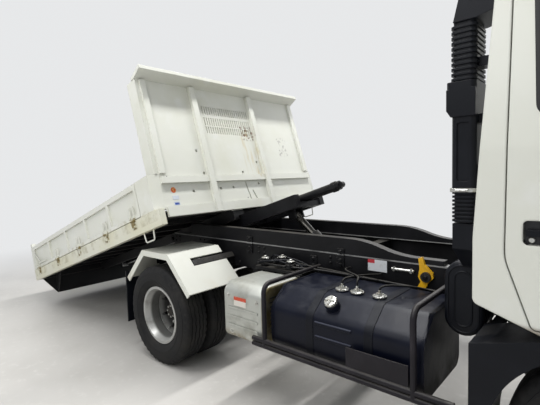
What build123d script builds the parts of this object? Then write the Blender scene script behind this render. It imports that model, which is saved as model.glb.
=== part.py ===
"""A cab-over dump truck whose bed slides back and tilts. Millimetres, +X forward, +Z up, -Y the right side.
The origin is on the ground, midway between the tail and the nose."""

import math
import os

from build123d import *

os.makedirs("parts", exist_ok=True)

# Wheels and axles
tyre_radius = 402.5
tyre_width = 226.0
rim_seat_radius = 222.25
rim_flange_radius = 235.0
rim_half_width = 84.0
rim_gauge = 8.0
hand_hole_count = 8
hand_hole_radius = 15.0
hand_hole_pitch = 172.0
wheelbase = 2860.0
rear_inner_y = 703.0
twin_spacing = 254.0
front_wheel_y = 850.0
disc_offset = 127.0
kingpin_y = 770.0
spindle_radius = 30.0
kingpin_radius = 24.0
bearing_gap = 0.5

# Ladder frame, places measured from the rear axle
rail_out_y = 430.0
rail_flange = 65.0
rail_gauge = 7.0
rail_low = 740.0
rail_high = 960.0
rail_rear = -620.0
subframe_high = 1070.0
subframe_rear = -330.0
subframe_nose_high = 990.0

# Bed, in the bed's own axes: u along it, n square to its floor, both from the rear axle on the ground
bed_tilt = 17.2
bed_half_width = 1090.0
bed_tail = -2480.0
bed_front = 480.0
floor_top = 1180.0
floor_gauge = 8.0
crossmember_low = 1130.0
sill_low = 1060.0
side_wall = 40.0
gate_low = 1195.0
gate_high = 1480.0
gate_front = 235.0
post_front = 470.0
post_rear = 245.0
post_depth = 45.0
headboard_low = 1118.0
headboard_half = 1000.0
headboard_upper_half = 1030.0
headboard_gauge = 40.0
visor_root = 2310.0
visor_reach = 110.0
visor_rise = 70.0
tail_skirt_low = 855.0
tail_post = 50.0
tail_hinge_n = 1490.0
tail_post_high = 1520.0

# Tilting frame and cylinders, in the bed's axes
pivot_u = 9.0
pivot_n = 985.0
pivot_radius = 25.0
tilt_frame_low = 955.0
tilt_frame_high = 1065.0
tilt_frame_out = 200.0
tilt_frame_in = 140.0
tilt_frame_rear = -100.0
tilt_frame_front = 1140.0
slide_travel = 1800.0
barrel_radius = 37.5
barrel_n = 1037.5
barrel_rear = -460.0
barrel_front = 1470.0
barrel_cap = 15.0
slide_rod_radius = 22.0
hoist_eye_u = 950.0
hoist_eye_n = 925.0
hoist_base_x = 1150.0
hoist_base_z = 720.0
hoist_radius = 52.0
hoist_rod_radius = 32.0

# Cab: its back stands behind the front axle, its nose ahead of it
cab_setback = 500.0
cab_overhang = 1090.0
cab_half = 1045.0
cab_wall = 50.0
cab_low = 885.0
cab_roof = 2450.0
cab_rear = wheelbase - cab_setback
cab_front = wheelbase + cab_overhang
cab_roof_half = cab_half - 60
cab_belt = cab_low + 715
cab_floor_low = cab_low + 100
cab_floor_gauge = 45.0
cab_pivot_x = cab_front - 100
cab_pivot_z = cab_low + 45
door_gap = 5.0
door_rear = cab_rear + 120
door_front = cab_rear + 1140
door_low = cab_low + 20
door_high = cab_roof - 160
door_hinge_x = door_front - 10
door_hinge_y = cab_half - 5
window_inset = 20.0
glass_gauge = 6.0
bumper_front = cab_front + 20
bumper_rear = cab_front - 160
bumper_half = cab_half + 35

# What hangs between cab and bed follows the cab
rail_front = cab_front - 250
subframe_front = cab_rear - 310
subframe_bend_end = subframe_front - 160
subframe_bend = subframe_front - 630
tank_rear = 1200.0
tank_front = cab_rear - 215

# The rear axle stands where the origin falls midway between the tail's highest corner and the bumper
tilt = math.radians(bed_tilt)
tail_reach = bed_tail * math.cos(tilt) - tail_post_high * math.sin(tilt)
rear_x = -(bumper_front + tail_reach) / 2

road = Plane(origin=(rear_x, 0, 0), x_dir=(1, 0, 0), z_dir=(0, 0, 1))
bed = Plane(origin=(rear_x, 0, 0), x_dir=(math.cos(tilt), 0, math.sin(tilt)),
            z_dir=(-math.sin(tilt), 0, math.cos(tilt)))


def bed_point(u, y, n):
    """A point of the bed's axes as a place in the part."""
    return bed.from_local_coords(Vector(u, y, n))


def road_point(x, y, z):
    """A point measured from the rear axle on the ground as a place in the part."""
    return Vector(rear_x + x, y, z)


def side_plane(y):
    """Upright plane along the truck: local x forward, local y up, facing the right side."""
    return Plane(origin=(rear_x, y, 0), x_dir=(1, 0, 0), z_dir=(0, -1, 0))


def bed_side_plane(y):
    """The same for the tilted bed: local x along the bed, local y square to its floor."""
    return Plane(origin=(rear_x, y, 0), x_dir=bed.x_dir, z_dir=(0, -1, 0))


def cross_plane(x):
    """Upright plane across the truck: local x to the left, local y up, facing forward."""
    return Plane(origin=(rear_x + x, 0, 0), x_dir=(0, 1, 0), z_dir=(1, 0, 0))


def span(side, inner, outer):
    """Low and high place across the truck of something between two distances from the middle."""
    return tuple(sorted((side * inner, side * outer)))


def slab(base, x, y, z, mode=Mode.ADD, corner=0):
    """Block between low and high places in the axes of a base plane, with its upright edges rounded."""
    with BuildSketch(base.offset(z[0])) as foot:
        with Locations(((x[0] + x[1]) / 2, (y[0] + y[1]) / 2)):
            if corner:
                RectangleRounded(x[1] - x[0], y[1] - y[0], corner)
            else:
                Rectangle(x[1] - x[0], y[1] - y[0])
    extrude(foot.sketch, amount=z[1] - z[0], mode=mode)


def plate(plane, outline, depth, radius=0, mode=Mode.ADD):
    """Flat outline extruded square to its plane."""
    with BuildSketch(plane) as face:
        with BuildLine():
            Polyline(*outline, close=True)
        make_face()
        if radius:
            fillet(face.vertices(), radius)
    extrude(face.sketch, amount=depth, mode=mode)


def bent_sheet(plane, line, gauge, depth):
    """Sheet of one gauge on the right of a bent line, extruded square to its plane."""
    with BuildSketch(plane) as face:
        with BuildLine():
            Polyline(*line)
            offset(amount=gauge, side=Side.RIGHT)
        make_face()
    extrude(face.sketch, amount=depth)


def rounded(outline):
    """Closed line through corners, each with its own radius."""
    return FilletPolyline(*[(a, b) for a, b, _ in outline], radius=[r for _, _, r in outline], close=True)


def rounded_plate(plane, outline, depth, grow=0, mode=Mode.ADD):
    """Outline with a radius at each corner, grown all round, extruded square to its plane."""
    with BuildSketch(plane) as face:
        with BuildLine():
            rounded(outline)
        make_face()
        if grow:
            offset(amount=grow)
    extrude(face.sketch, amount=depth, mode=mode)


def rod(start, end, radius, mode=Mode.ADD):
    """Round bar between two points."""
    run = end - start
    with BuildSketch(Plane(origin=start, z_dir=run)) as end_face:
        Circle(radius)
    extrude(end_face.sketch, amount=run.length, mode=mode)


def pipe(points, bend, radius):
    """Round bar along straight runs joined by bends."""
    with BuildLine() as path:
        FilletPolyline(*points, radius=bend)
    with BuildSketch(Plane(origin=path.line @ 0, z_dir=path.line % 0)) as end_face:
        Circle(radius)
    sweep(end_face.sketch, path=path.line)


def turned(sections, side, centre):
    """Rings turned about a wheel's axle. Each section lists places from the middle line and radii."""
    x, z = centre
    axle = Plane(origin=(rear_x + x, 0, z), x_dir=(0, side, 0), z_dir=(-side, 0, 0))
    for section in sections:
        with BuildSketch(axle) as profile:
            with BuildLine():
                Polyline(*section, close=True)
            make_face()
        revolve(profile.sketch, axis=Axis((rear_x + x, 0, z), (0, 1, 0)))


def finish(name, piece):
    """Label a piece and write it."""
    piece.part.label = name
    export_step(piece.part, f"parts/{name}.step")


sides = {"right": -1, "left": 1}
rear_outer_y = rear_inner_y + twin_spacing
twin_face_y = rear_inner_y + twin_spacing / 2
rear_axle_at = (0.0, tyre_radius)
front_axle_at = (wheelbase, tyre_radius)


# Tyres
def tyre_section(middle):
    """Bead, side wall and shoulder of one half, mirrored about the tyre's middle."""
    half = tyre_width / 2
    bead = rim_half_width - rim_gauge
    wall = [(bead, rim_seat_radius), (bead, rim_flange_radius + 4), (half - 8, rim_flange_radius + 35),
            (half, rim_flange_radius + 77), (half - 8, tyre_radius - 32), (half - 34, tyre_radius)]
    return [(middle + a, r) for a, r in wall] + [(middle - a, r) for a, r in reversed(wall)]


def rim_section(middle):
    """Drop-centre rim: flanges, bead seats and the well between them."""
    edge = rim_half_width
    seat = rim_seat_radius
    outer = [(edge, rim_flange_radius), (edge - rim_gauge, rim_flange_radius), (edge - rim_gauge, seat),
             (48, seat), (32, seat - 22)]
    inner = [(32, seat - 22 - rim_gauge), (edge, seat - rim_gauge)]
    return ([(middle + a, r) for a, r in outer] + [(middle - a, r) for a, r in reversed(outer)]
            + [(middle - a, r) for a, r in reversed(inner)] + [(middle + a, r) for a, r in inner])


def hand_holes(side, centre, reach):
    """Round holes through a wheel's disc, between two distances from the middle line."""
    x, z = centre
    for turn in range(hand_hole_count):
        angle = math.tau * (turn + 0.5) / hand_hole_count
        place = (x + hand_hole_pitch * math.cos(angle), z + hand_hole_pitch * math.sin(angle))
        start = road_point(place[0], side * reach[0], place[1])
        end = road_point(place[0], side * reach[1], place[1])
        rod(start, end, hand_hole_radius, mode=Mode.SUBTRACT)


def disc_section(face, outward, hub_radius):
    """Dished wheel disc from its mounting face to the rim well. outward is 1 where the rim lies outboard."""
    gauge = 12.0
    well = rim_seat_radius - 22 - rim_gauge + 4
    return [(face, hub_radius), (face + outward * gauge, hub_radius), (face + outward * gauge, 160),
            (face + outward * 82, well - 6), (face + outward * 82, well + 2), (face + outward * 66, well),
            (face, 172)]


for label, side in sides.items():
    with BuildPart() as front_tyre:
        turned([tyre_section(front_wheel_y)], side, front_axle_at)
    finish(f"front_tyre_{label}", front_tyre)
    with BuildPart() as rear_tyres:
        turned([tyre_section(rear_inner_y), tyre_section(rear_outer_y)], side, rear_axle_at)
    finish(f"rear_tyres_{label}", rear_tyres)

    front_face = front_wheel_y + disc_offset
    with BuildPart() as front_rim:
        turned([rim_section(front_wheel_y), disc_section(front_face, -1, 60),
                [(front_face - 130, spindle_radius + bearing_gap), (front_face - 130, 75),
                 (front_face - 20, 75), (front_face - 20, 120), (front_face, 120), (front_face, 70),
                 (front_face + 45, 66), (front_face + 52, 0), (front_face - 15, 0),
                 (front_face - 15, spindle_radius + bearing_gap)]],
               side, front_axle_at)
        hand_holes(side, front_axle_at, (front_face - 90, front_face + 5))
    finish(f"front_rim_{label}", front_rim)

    with BuildPart() as rear_rims:
        turned([rim_section(rear_inner_y), rim_section(rear_outer_y),
                disc_section(twin_face_y, 1, 80), disc_section(twin_face_y, -1, 80),
                [(twin_face_y - 230, 45 + bearing_gap), (twin_face_y - 230, 178), (twin_face_y - 90, 178),
                 (twin_face_y - 90, 95), (twin_face_y - 12, 95), (twin_face_y - 12, 82),
                 (twin_face_y + 60, 78), (twin_face_y + 95, 60), (twin_face_y + 95, 0),
                 (twin_face_y + 80, 0), (twin_face_y + 80, 45 + bearing_gap)]],
               side, rear_axle_at)
        hand_holes(side, rear_axle_at, (twin_face_y - 88, twin_face_y + 100))
    finish(f"rear_rims_{label}", rear_rims)

    # Steering knuckle: a yoke round the kingpin with the wheel's spindle
    with BuildPart() as knuckle:
        for low in (-97, 67):
            with BuildSketch(Plane(origin=road_point(wheelbase, side * kingpin_y, tyre_radius + low))):
                SlotCenterToCenter(2 * 30, 68, rotation=90)
            extrude(amount=30)
        slab(road, (wheelbase - 34, wheelbase + 34), span(side, kingpin_y + 48, kingpin_y + 76),
             (tyre_radius - 97, tyre_radius + 97))
        slab(road, (wheelbase - 34, wheelbase + 34), span(side, kingpin_y - 200, kingpin_y + 47),
             (tyre_radius - 110, tyre_radius + 110), mode=Mode.SUBTRACT)
        for low in (-97, 67):
            slab(road, (wheelbase - 34, wheelbase + 34), span(side, kingpin_y - 34, kingpin_y + 60),
                 (tyre_radius + low, tyre_radius + low + 30))
        rod(road_point(wheelbase, side * kingpin_y, tyre_radius - 120),
            road_point(wheelbase, side * kingpin_y, tyre_radius + 120),
            kingpin_radius + bearing_gap, mode=Mode.SUBTRACT)
        rod(road_point(wheelbase, side * (kingpin_y + 60), tyre_radius),
            road_point(wheelbase, side * (front_face - 22), tyre_radius), spindle_radius)
    finish(f"knuckle_{label}", knuckle)

# Axles and springs
with BuildPart() as front_axle:
    beam_low = tyre_radius - 62
    for side in sides.values():
        plate(cross_plane(wheelbase - 40), [(side * 0, 300), (side * 520, 300), (side * 640, beam_low),
                                            (side * (kingpin_y - 20), beam_low),
                                            (side * (kingpin_y - 20), beam_low + 75),
                                            (side * 600, beam_low + 75), (side * 490, 385),
                                            (side * 0, 385)], 80)
        rod(road_point(wheelbase, side * kingpin_y, tyre_radius - 57),
            road_point(wheelbase, side * kingpin_y, tyre_radius + 57), 40)
        rod(road_point(wheelbase, side * kingpin_y, tyre_radius - 100),
            road_point(wheelbase, side * kingpin_y, tyre_radius + 100), kingpin_radius)
finish("front_axle", front_axle)

spring_y = 400.0
rear_axle_nose = 300.0
with BuildPart() as rear_axle:
    rod(road_point(0, -(twin_face_y - 240), tyre_radius), road_point(0, twin_face_y - 240, tyre_radius), 65)
    rod(road_point(0, -(twin_face_y + 70), tyre_radius), road_point(0, twin_face_y + 70, tyre_radius), 45)
    turned([[(-120, 0), (-120, 120), (-60, 190), (60, 190), (120, 120), (120, 0)]], 1, rear_axle_at)
    rod(road_point(0, 0, tyre_radius), road_point(rear_axle_nose, 0, tyre_radius + 25), 90)
    for side in sides.values():
        slab(road, (-70, 70), span(side, spring_y - 40, spring_y + 40),
             (tyre_radius + 20, tyre_radius + 65))
finish("rear_axle", rear_axle)

leaf_gauge = 14.0
# x, lowest z, radius of curve, half lengths of the leaves from the top
spring_sets = [
    {"x": 0.0, "low": tyre_radius + 65, "curve": 1900.0, "halves": (520, 440, 360, 280, 200)},
    {"x": wheelbase, "low": 385.0, "curve": 2200.0, "halves": (600, 520, 400, 280)},
]
hanger_half = 35.0
with BuildPart() as leaf_springs:
    for group in spring_sets:
        top = group["low"] + leaf_gauge * len(group["halves"])
        longest = group["halves"][0]
        for side in sides.values():
            spring_plane = side_plane(side * spring_y + hanger_half)
            for turn, half in enumerate(group["halves"]):
                radius = group["curve"] + leaf_gauge * turn
                with BuildSketch(spring_plane) as leaf:
                    with Locations((group["x"], top + group["curve"])):
                        Circle(radius + leaf_gauge)
                        Circle(radius, mode=Mode.SUBTRACT)
                    with Locations((group["x"], top)):
                        Rectangle(2 * half, 2 * spring_y, mode=Mode.INTERSECT)
                extrude(leaf.sketch, amount=2 * hanger_half)
            for end in (-1, 1):
                x = group["x"] + end * longest
                slab(road, (x - 30, x + 30), span(side, spring_y - 30, spring_y + 30), (top + 45, rail_low))
finish("leaf_springs", leaf_springs)

# Ladder frame, with the plates that clamp the sub-frame down
clamp_gauge = 10.0
clamp_table = [
    {"rear": 1100.0, "front": 1155.0, "low": 835.0, "high": 922.0},
    {"rear": 1333.0, "front": 1384.0, "low": 868.0, "high": 997.0},
    {"rear": 440.0, "front": 500.0, "low": 868.0, "high": 1010.0},
]
for label, side in sides.items():
    inner = rail_out_y - rail_flange
    web = rail_out_y - rail_gauge
    with BuildPart() as frame_rail:
        plate(cross_plane(rail_rear),
              [(side * rail_out_y, rail_low), (side * rail_out_y, rail_high), (side * inner, rail_high),
               (side * inner, rail_high - rail_gauge), (side * web, rail_high - rail_gauge),
               (side * web, rail_low + rail_gauge), (side * inner, rail_low + rail_gauge),
               (side * inner, rail_low)], rail_front - rail_rear)
        for clamp in clamp_table:
            slab(road, (clamp["rear"], clamp["front"]), span(side, rail_out_y, rail_out_y + clamp_gauge),
                 (clamp["low"], clamp["high"]))
    finish(f"frame_rail_{label}", frame_rail)

    with BuildPart() as subframe_rail:
        with BuildSketch(side_plane(max(span(side, inner, rail_out_y)))):
            with BuildLine():
                bend_middle = ((subframe_bend + subframe_bend_end) / 2,
                               (subframe_high + subframe_nose_high) / 2)
                Line((subframe_rear, rail_high), (subframe_rear, subframe_high))
                Line((subframe_rear, subframe_high), (subframe_bend, subframe_high))
                first = TangentArc((subframe_bend, subframe_high), bend_middle, tangent=(1, 0))
                TangentArc(bend_middle, (subframe_bend_end, subframe_nose_high), tangent=first % 1)
                Line((subframe_bend_end, subframe_nose_high), (subframe_front, subframe_nose_high))
                Line((subframe_front, subframe_nose_high), (subframe_front, rail_high))
                Line((subframe_front, rail_high), (subframe_rear, rail_high))
            make_face()
        extrude(amount=rail_flange)
    finish(f"subframe_{label}", subframe_rail)

# Crossmembers: x, half length, low z, high z
crossmember_table = [
    (-560.0, 40.0, 760.0, 840.0),
    (-170.0, 30.0, 770.0, 880.0),
    (600.0, 30.0, 760.0, 830.0),
    (1300.0, 40.0, 780.0, 940.0),
    (cab_rear - 130, 50.0, 780.0, 940.0),
    (rail_front - 60, 50.0, 760.0, 920.0),
]
web_inner = rail_out_y - rail_gauge
pivot_x = pivot_u * math.cos(tilt) - pivot_n * math.sin(tilt)
pivot_z = pivot_u * math.sin(tilt) + pivot_n * math.cos(tilt)
with BuildPart() as crossmembers:
    for x, half, low, high in crossmember_table:
        slab(road, (x - half, x + half), (-web_inner, web_inner), (low, high))
    for side in sides.values():
        bracket_y = (tilt_frame_out + 100, web_inner)
        slab(road, (pivot_x - 110, pivot_x + 140), span(side, *bracket_y), (770, 885))
        slab(road, (pivot_x - 50, pivot_x + 50), span(side, bracket_y[0], rail_out_y - rail_flange - 1),
             (880, pivot_z))
        rod(road_point(pivot_x, side * bracket_y[0], pivot_z),
            road_point(pivot_x, side * (rail_out_y - rail_flange - 1), pivot_z), 50)
        rod(road_point(pivot_x, side * bracket_y[0], pivot_z),
            road_point(pivot_x, side * (rail_out_y - rail_flange - 1), pivot_z), pivot_radius + bearing_gap,
            mode=Mode.SUBTRACT)
        slab(road, (hoist_base_x - 40, 1270), span(side, hoist_radius + 18, hoist_radius + 40), (690, 800))
    slab(road, (1200, 1345), (-hoist_radius - 40, hoist_radius + 40), (790, 860))
finish("crossmembers", crossmembers)

def across(point, half, radius, mode=Mode.ADD):
    """Round boss or bore across the truck through a point."""
    offset_y = Vector(0, half, 0)
    rod(point - offset_y, point + offset_y, radius, mode)


# Tilting frame with stub pivots at its rear and the hoist's eye bracket near its front
with BuildPart() as tilt_frame:
    for side in sides.values():
        slab(bed, (tilt_frame_rear, tilt_frame_front), span(side, tilt_frame_in, tilt_frame_out),
             (tilt_frame_low, tilt_frame_high))
        rod(road_point(pivot_x, side * (tilt_frame_out - 5), pivot_z),
            road_point(pivot_x, side * (rail_out_y - rail_flange - 5), pivot_z), pivot_radius)
    for u in (tilt_frame_rear + 40, 420, tilt_frame_front - 40):
        slab(bed, (u - 30, u + 30), (-tilt_frame_in, tilt_frame_in),
             (tilt_frame_low, barrel_n - barrel_radius - 1))
    for side in sides.values():
        slab(bed, (hoist_eye_u - 40, hoist_eye_u + 40),
             span(side, hoist_rod_radius + 12, hoist_rod_radius + 30),
             (hoist_eye_n - 40, tilt_frame_low + 10))
    slab(bed, (hoist_eye_u - 40, hoist_eye_u + 40), (-tilt_frame_in, tilt_frame_in),
         (tilt_frame_low + 10, tilt_frame_low + 30))
finish("tilt_frame", tilt_frame)

with BuildPart() as slide_barrel:
    rod(bed_point(barrel_rear, 0, barrel_n), bed_point(barrel_front, 0, barrel_n), barrel_radius)
    rod(bed_point(barrel_front - 75, 0, barrel_n), bed_point(barrel_front - 35, 0, barrel_n),
        barrel_radius + 6)
    rod(bed_point(barrel_rear, 0, barrel_n), bed_point(barrel_front - barrel_cap, 0, barrel_n),
        slide_rod_radius + bearing_gap, mode=Mode.SUBTRACT)
    across(bed_point(barrel_front + 12, 0, barrel_n), 20, 24)
finish("slide_barrel", slide_barrel)

# Hoist: barrel pinned to the frame, rod to the tilting frame's eye bracket
hoist_base = road_point(hoist_base_x, 0, hoist_base_z)
hoist_eye = bed_point(hoist_eye_u, 0, hoist_eye_n)
hoist_run = (hoist_eye - hoist_base).normalized()
hoist_pin_radius = 18.0
hoist_barrel_length = 430.0
hoist_rod_length = 340.0


def along_hoist(distance):
    """Place on the hoist's line, from its pin on the frame."""
    return hoist_base + hoist_run * distance


with BuildPart() as hoist_barrel:
    rod(along_hoist(25), along_hoist(hoist_barrel_length), hoist_radius)
    across(hoist_base, hoist_radius - 10, 38)
    rod(along_hoist(60), along_hoist(hoist_barrel_length), hoist_rod_radius + bearing_gap,
        mode=Mode.SUBTRACT)
    across(hoist_base, hoist_radius + 5, hoist_pin_radius + bearing_gap, mode=Mode.SUBTRACT)
finish("hoist_barrel", hoist_barrel)

with BuildPart() as hoist_rod:
    rod(hoist_eye - hoist_run * hoist_rod_length, hoist_eye, hoist_rod_radius)
    across(hoist_eye, hoist_rod_radius, 32)
    across(hoist_eye, hoist_rod_radius + 5, hoist_pin_radius + bearing_gap, mode=Mode.SUBTRACT)
finish("hoist_rod", hoist_rod)


# Bed
def bed_cross_plane(u):
    """Plane square across the bed: local x to the left, local y square to its floor, facing forward."""
    return Plane(origin=bed_point(u, 0, 0), x_dir=(0, 1, 0), z_dir=bed.x_dir)


sill_in = bed_half_width - 50
sill_high = 1188.0
bed_beam_low = 1070.0
bed_beam_out = 270.0
guide_low = 1030.0
hinge_radius = 9.0
hinge_y = bed_half_width + 10
hinge_n = 1188.0
hinge_places = (-2290.0, -1660.0, -1050.0, -410.0, 110.0)
hinge_half = 22.0
tail_hinge_u = bed_tail + tail_post / 2
rope_hook_span = (215.0, 370.0)
rope_hook_drop = 85.0
hook_radius = 6.0

with BuildPart() as bed_floor:
    slab(bed, (bed_tail + 45, bed_front - headboard_gauge), (-sill_in, sill_in),
         (floor_top - floor_gauge, floor_top))
    slab(bed, (bed_tail, bed_tail + 45), (-sill_in, sill_in), (sill_low, floor_top))
    for turn in range(9):
        u = bed_tail + 120 + 340 * turn
        slab(bed, (u - 25, u + 25), (-sill_in, sill_in), (crossmember_low, floor_top - floor_gauge))
    for side in sides.values():
        slab(bed, (bed_tail, bed_front + 40), span(side, sill_in, bed_half_width), (sill_low, sill_high))
        slab(bed, (bed_tail + 45, bed_front - 30), span(side, tilt_frame_in, bed_beam_out),
             (bed_beam_low, crossmember_low))
        slab(bed, (bed_tail + 45, bed_front - 30), span(side, tilt_frame_out + 8, bed_beam_out),
             (guide_low, bed_beam_low))
        slab(bed, (bed_tail, bed_tail + tail_post), span(side, bed_half_width - 45, bed_half_width),
             (sill_high, tail_post_high))
        rod(bed_point(tail_hinge_u, side * (sill_in - 30), tail_hinge_n),
            bed_point(tail_hinge_u, side * (bed_half_width + 5), tail_hinge_n), 10 + bearing_gap,
            mode=Mode.SUBTRACT)
        for u in hinge_places:
            slab(bed, (u - hinge_half, u + hinge_half), span(side, bed_half_width - 5, hinge_y),
                 (hinge_n - 60, hinge_n + 2))
            rod(bed_point(u - hinge_half, side * hinge_y, hinge_n),
                bed_point(u + hinge_half, side * hinge_y, hinge_n), hinge_radius)
        hook_y = side * (bed_half_width - 12)
        hook_low = sill_low - rope_hook_drop
        pipe([bed_point(rope_hook_span[0], hook_y, sill_low + 10),
              bed_point(rope_hook_span[0] + 15, hook_y, hook_low),
              bed_point(rope_hook_span[1] - 15, hook_y, hook_low),
              bed_point(rope_hook_span[1], hook_y, sill_low + 10)], 18, hook_radius)
        slab(bed, (bed_tail + 12, bed_tail + 230), span(side, 860, 868), (tail_skirt_low, crossmember_low))
        plate(bed_side_plane(max(span(side, 850, 880))),
              [(bed_tail + 30, tail_skirt_low - 1), (bed_tail + 231, tail_skirt_low - 1),
               (bed_tail + 231, crossmember_low - 5)], 30, mode=Mode.SUBTRACT)
    plate(bed_cross_plane(bed_tail),
          [(-sill_in + 20, sill_low + 5), (-870, tail_skirt_low), (870, tail_skirt_low),
           (sill_in - 20, sill_low + 5)], 12)
finish("bed_floor", bed_floor)

slide_rod_anchor = -2280.0
slide_rod_inner = -360.0
with BuildPart() as slide_rod:
    rod(bed_point(slide_rod_anchor, 0, barrel_n), bed_point(slide_rod_inner, 0, barrel_n), slide_rod_radius)
    slab(bed, (slide_rod_anchor - 40, slide_rod_anchor), (-45, 45), (barrel_n - 40, crossmember_low))
finish("slide_rod", slide_rod)

# Headboard: vents in rows, and holes and slots through the panel as places across the bed and above it
headboard_posts = (-475.0, 270.0)
post_half = 30.0
mid_rail = (1395.0, 1455.0)
vent = {"first": -376.0, "pitch": 27.9, "columns": 22, "width": 12.0}
vent_rows = [{"low": 1870.0, "high": 1940.0}, {"low": 1950.0, "high": 2030.0},
             {"low": 2060.0, "high": 2142.0}]
hole_radius = 13.0
holes = [(-559, 1691), (-528, 1481), (187, 1589), (-43, 1484), (-376, 1333), (-217, 1336), (139, 1363),
         (-688, 1321)]
slot_width = 14.0
slots = [{"y": (-44, -18), "n": (1380, 1212)}, {"y": (33, 66), "n": (1294, 1212)}]
with BuildPart() as headboard:
    slab(bed, (bed_front - headboard_gauge, bed_front), (-headboard_half, headboard_half),
         (sill_high, gate_high))
    slab(bed, (bed_front - headboard_gauge, bed_front), (-headboard_upper_half, headboard_upper_half),
         (gate_high, visor_root))
    plate(bed_side_plane(headboard_upper_half + 5),
          [(bed_front - headboard_gauge, visor_root), (bed_front, visor_root),
           (bed_front + visor_reach, visor_root + visor_rise - 30),
           (bed_front + visor_reach, visor_root + visor_rise),
           (bed_front + visor_reach - 12, visor_root + visor_rise),
           (bed_front - headboard_gauge, visor_root + 18)],
          2 * (headboard_upper_half + 5))
    for side in sides.values():
        slab(bed, (post_rear + 110, bed_front - headboard_gauge),
             span(side, headboard_upper_half - post_depth, headboard_upper_half), (gate_high, visor_root))
        plate(bed.offset(sill_high),
              [(post_rear, side * bed_half_width), (post_front - 20, side * bed_half_width),
               (bed_front, side * headboard_half), (bed_front - headboard_gauge, side * headboard_half),
               (post_front - 50, side * (bed_half_width - post_depth)),
               (post_rear, side * (bed_half_width - post_depth))], gate_high - sill_high)
        slab(bed, (bed_front, bed_front + 20), span(side, headboard_half - 60, headboard_half - 5),
             (gate_high, visor_root - 5))
    for y in headboard_posts:
        slab(bed, (bed_front, bed_front + 38), (y - post_half, y + post_half),
             (headboard_low, visor_root - 5))
    for low, high in (mid_rail, (headboard_low, sill_high + 14)):
        slab(bed, (bed_front, bed_front + 24), (-headboard_half + 5, headboard_half - 5), (low, high))
    with BuildSketch(bed_cross_plane(bed_front + 1)) as openings:
        for row in vent_rows:
            for turn in range(vent["columns"]):
                with Locations((vent["first"] + vent["pitch"] * turn, (row["low"] + row["high"]) / 2)):
                    Rectangle(vent["width"], row["high"] - row["low"])
        with Locations(*holes):
            Circle(hole_radius)
        for slot in slots:
            run = (slot["y"][1] - slot["y"][0], slot["n"][1] - slot["n"][0])
            lean = math.degrees(math.atan2(run[1], run[0]))
            with Locations((sum(slot["y"]) / 2, sum(slot["n"]) / 2)):
                SlotCenterToCenter(math.hypot(*run), slot_width, rotation=lean)
    extrude(openings.sketch, amount=-headboard_gauge - 2, mode=Mode.SUBTRACT)
finish("headboard", headboard)

gate_tail = bed_tail + tail_post + 6
gate_rib_count = 5
latch = {"lever_u": (-2250.0, -2020.0), "lever_n": (1238.0, 1252.0),
         "rod_u": (-2370.0, -2200.0), "rod_n": (1250.0, 1390.0)}
for label, side in sides.items():
    with BuildPart() as side_gate:
        outer = bed_half_width - 2
        slab(bed, (gate_tail, gate_front), span(side, outer - side_wall, outer - 18), (gate_low, gate_high))
        for low, high in ((gate_low, gate_low + 35), (gate_high - 45, gate_high)):
            slab(bed, (gate_tail, gate_front), span(side, outer - 20, outer), (low, high))
        step = (gate_front - gate_tail - 40) / gate_rib_count
        for turn in range(gate_rib_count + 1):
            u = gate_tail + 20 + step * turn
            slab(bed, (u - 20, u + 20), span(side, outer - 20, outer), (gate_low, gate_high))
        for u in hinge_places:
            for low in (u - hinge_half - 13, u + hinge_half + 1):
                slab(bed, (low, low + 12), span(side, outer - 5, outer + 6), (gate_low + 2, gate_low + 110))
                slab(bed, (low, low + 12), span(side, outer + 2, hinge_y + 3), (hinge_n, gate_low + 30))
                rod(bed_point(low, side * hinge_y, hinge_n), bed_point(low + 12, side * hinge_y, hinge_n),
                    hinge_radius)
        slab(bed, latch["lever_u"], span(side, outer, outer + 10), latch["lever_n"])
        rod(bed_point(latch["rod_u"][0], side * (outer + 4), latch["rod_n"][1]),
            bed_point(latch["rod_u"][1], side * (outer + 4), latch["rod_n"][0]), 7)
    finish(f"gate_{label}", side_gate)

with BuildPart() as tailgate:
    gate_half = bed_half_width - 45 - 7
    slab(bed, (bed_tail, bed_tail + 22), (-gate_half, gate_half), (gate_low, gate_high - 10))
    for low, high in ((gate_low, gate_low + 45), (gate_high - 55, gate_high - 10)):
        slab(bed, (bed_tail, bed_tail + 38), (-gate_half, gate_half), (low, high))
    for turn in range(5):
        y = -gate_half + 25 + (gate_half - 25) / 2 * turn
        slab(bed, (bed_tail, bed_tail + 38), (y - 25, y + 25), (gate_low, gate_high - 10))
    for side in sides.values():
        slab(bed, (tail_hinge_u - 16, tail_hinge_u + 13), span(side, gate_half - 35, gate_half),
             (gate_high - 40, tail_hinge_n + 16))
        rod(bed_point(tail_hinge_u, side * (gate_half - 5), tail_hinge_n),
            bed_point(tail_hinge_u, side * (bed_half_width - 3), tail_hinge_n), 10)
finish("tailgate", tailgate)


# Cab volumes: a side outline and a front outline, each drawn in by an inset, meet in the cab's skin
cab_side_outline = [
    (cab_rear, cab_low + 87, 30), (cab_rear, cab_low + 355, 300), (cab_rear + 80, cab_roof, 110),
    (cab_front - 350, cab_roof - 20, 160), (cab_front - 45, cab_belt - 40, 120),
    (cab_front, cab_belt - 200, 150), (cab_front, cab_low, 50), (cab_rear + 240, cab_low, 60),
]
cab_front_outline = [
    (-cab_half, cab_low - 185, 10), (-cab_half, cab_belt, 300), (-cab_roof_half, cab_roof + 10, 90),
    (cab_roof_half, cab_roof + 10, 90), (cab_half, cab_belt, 300), (cab_half, cab_low - 185, 10),
]


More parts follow.
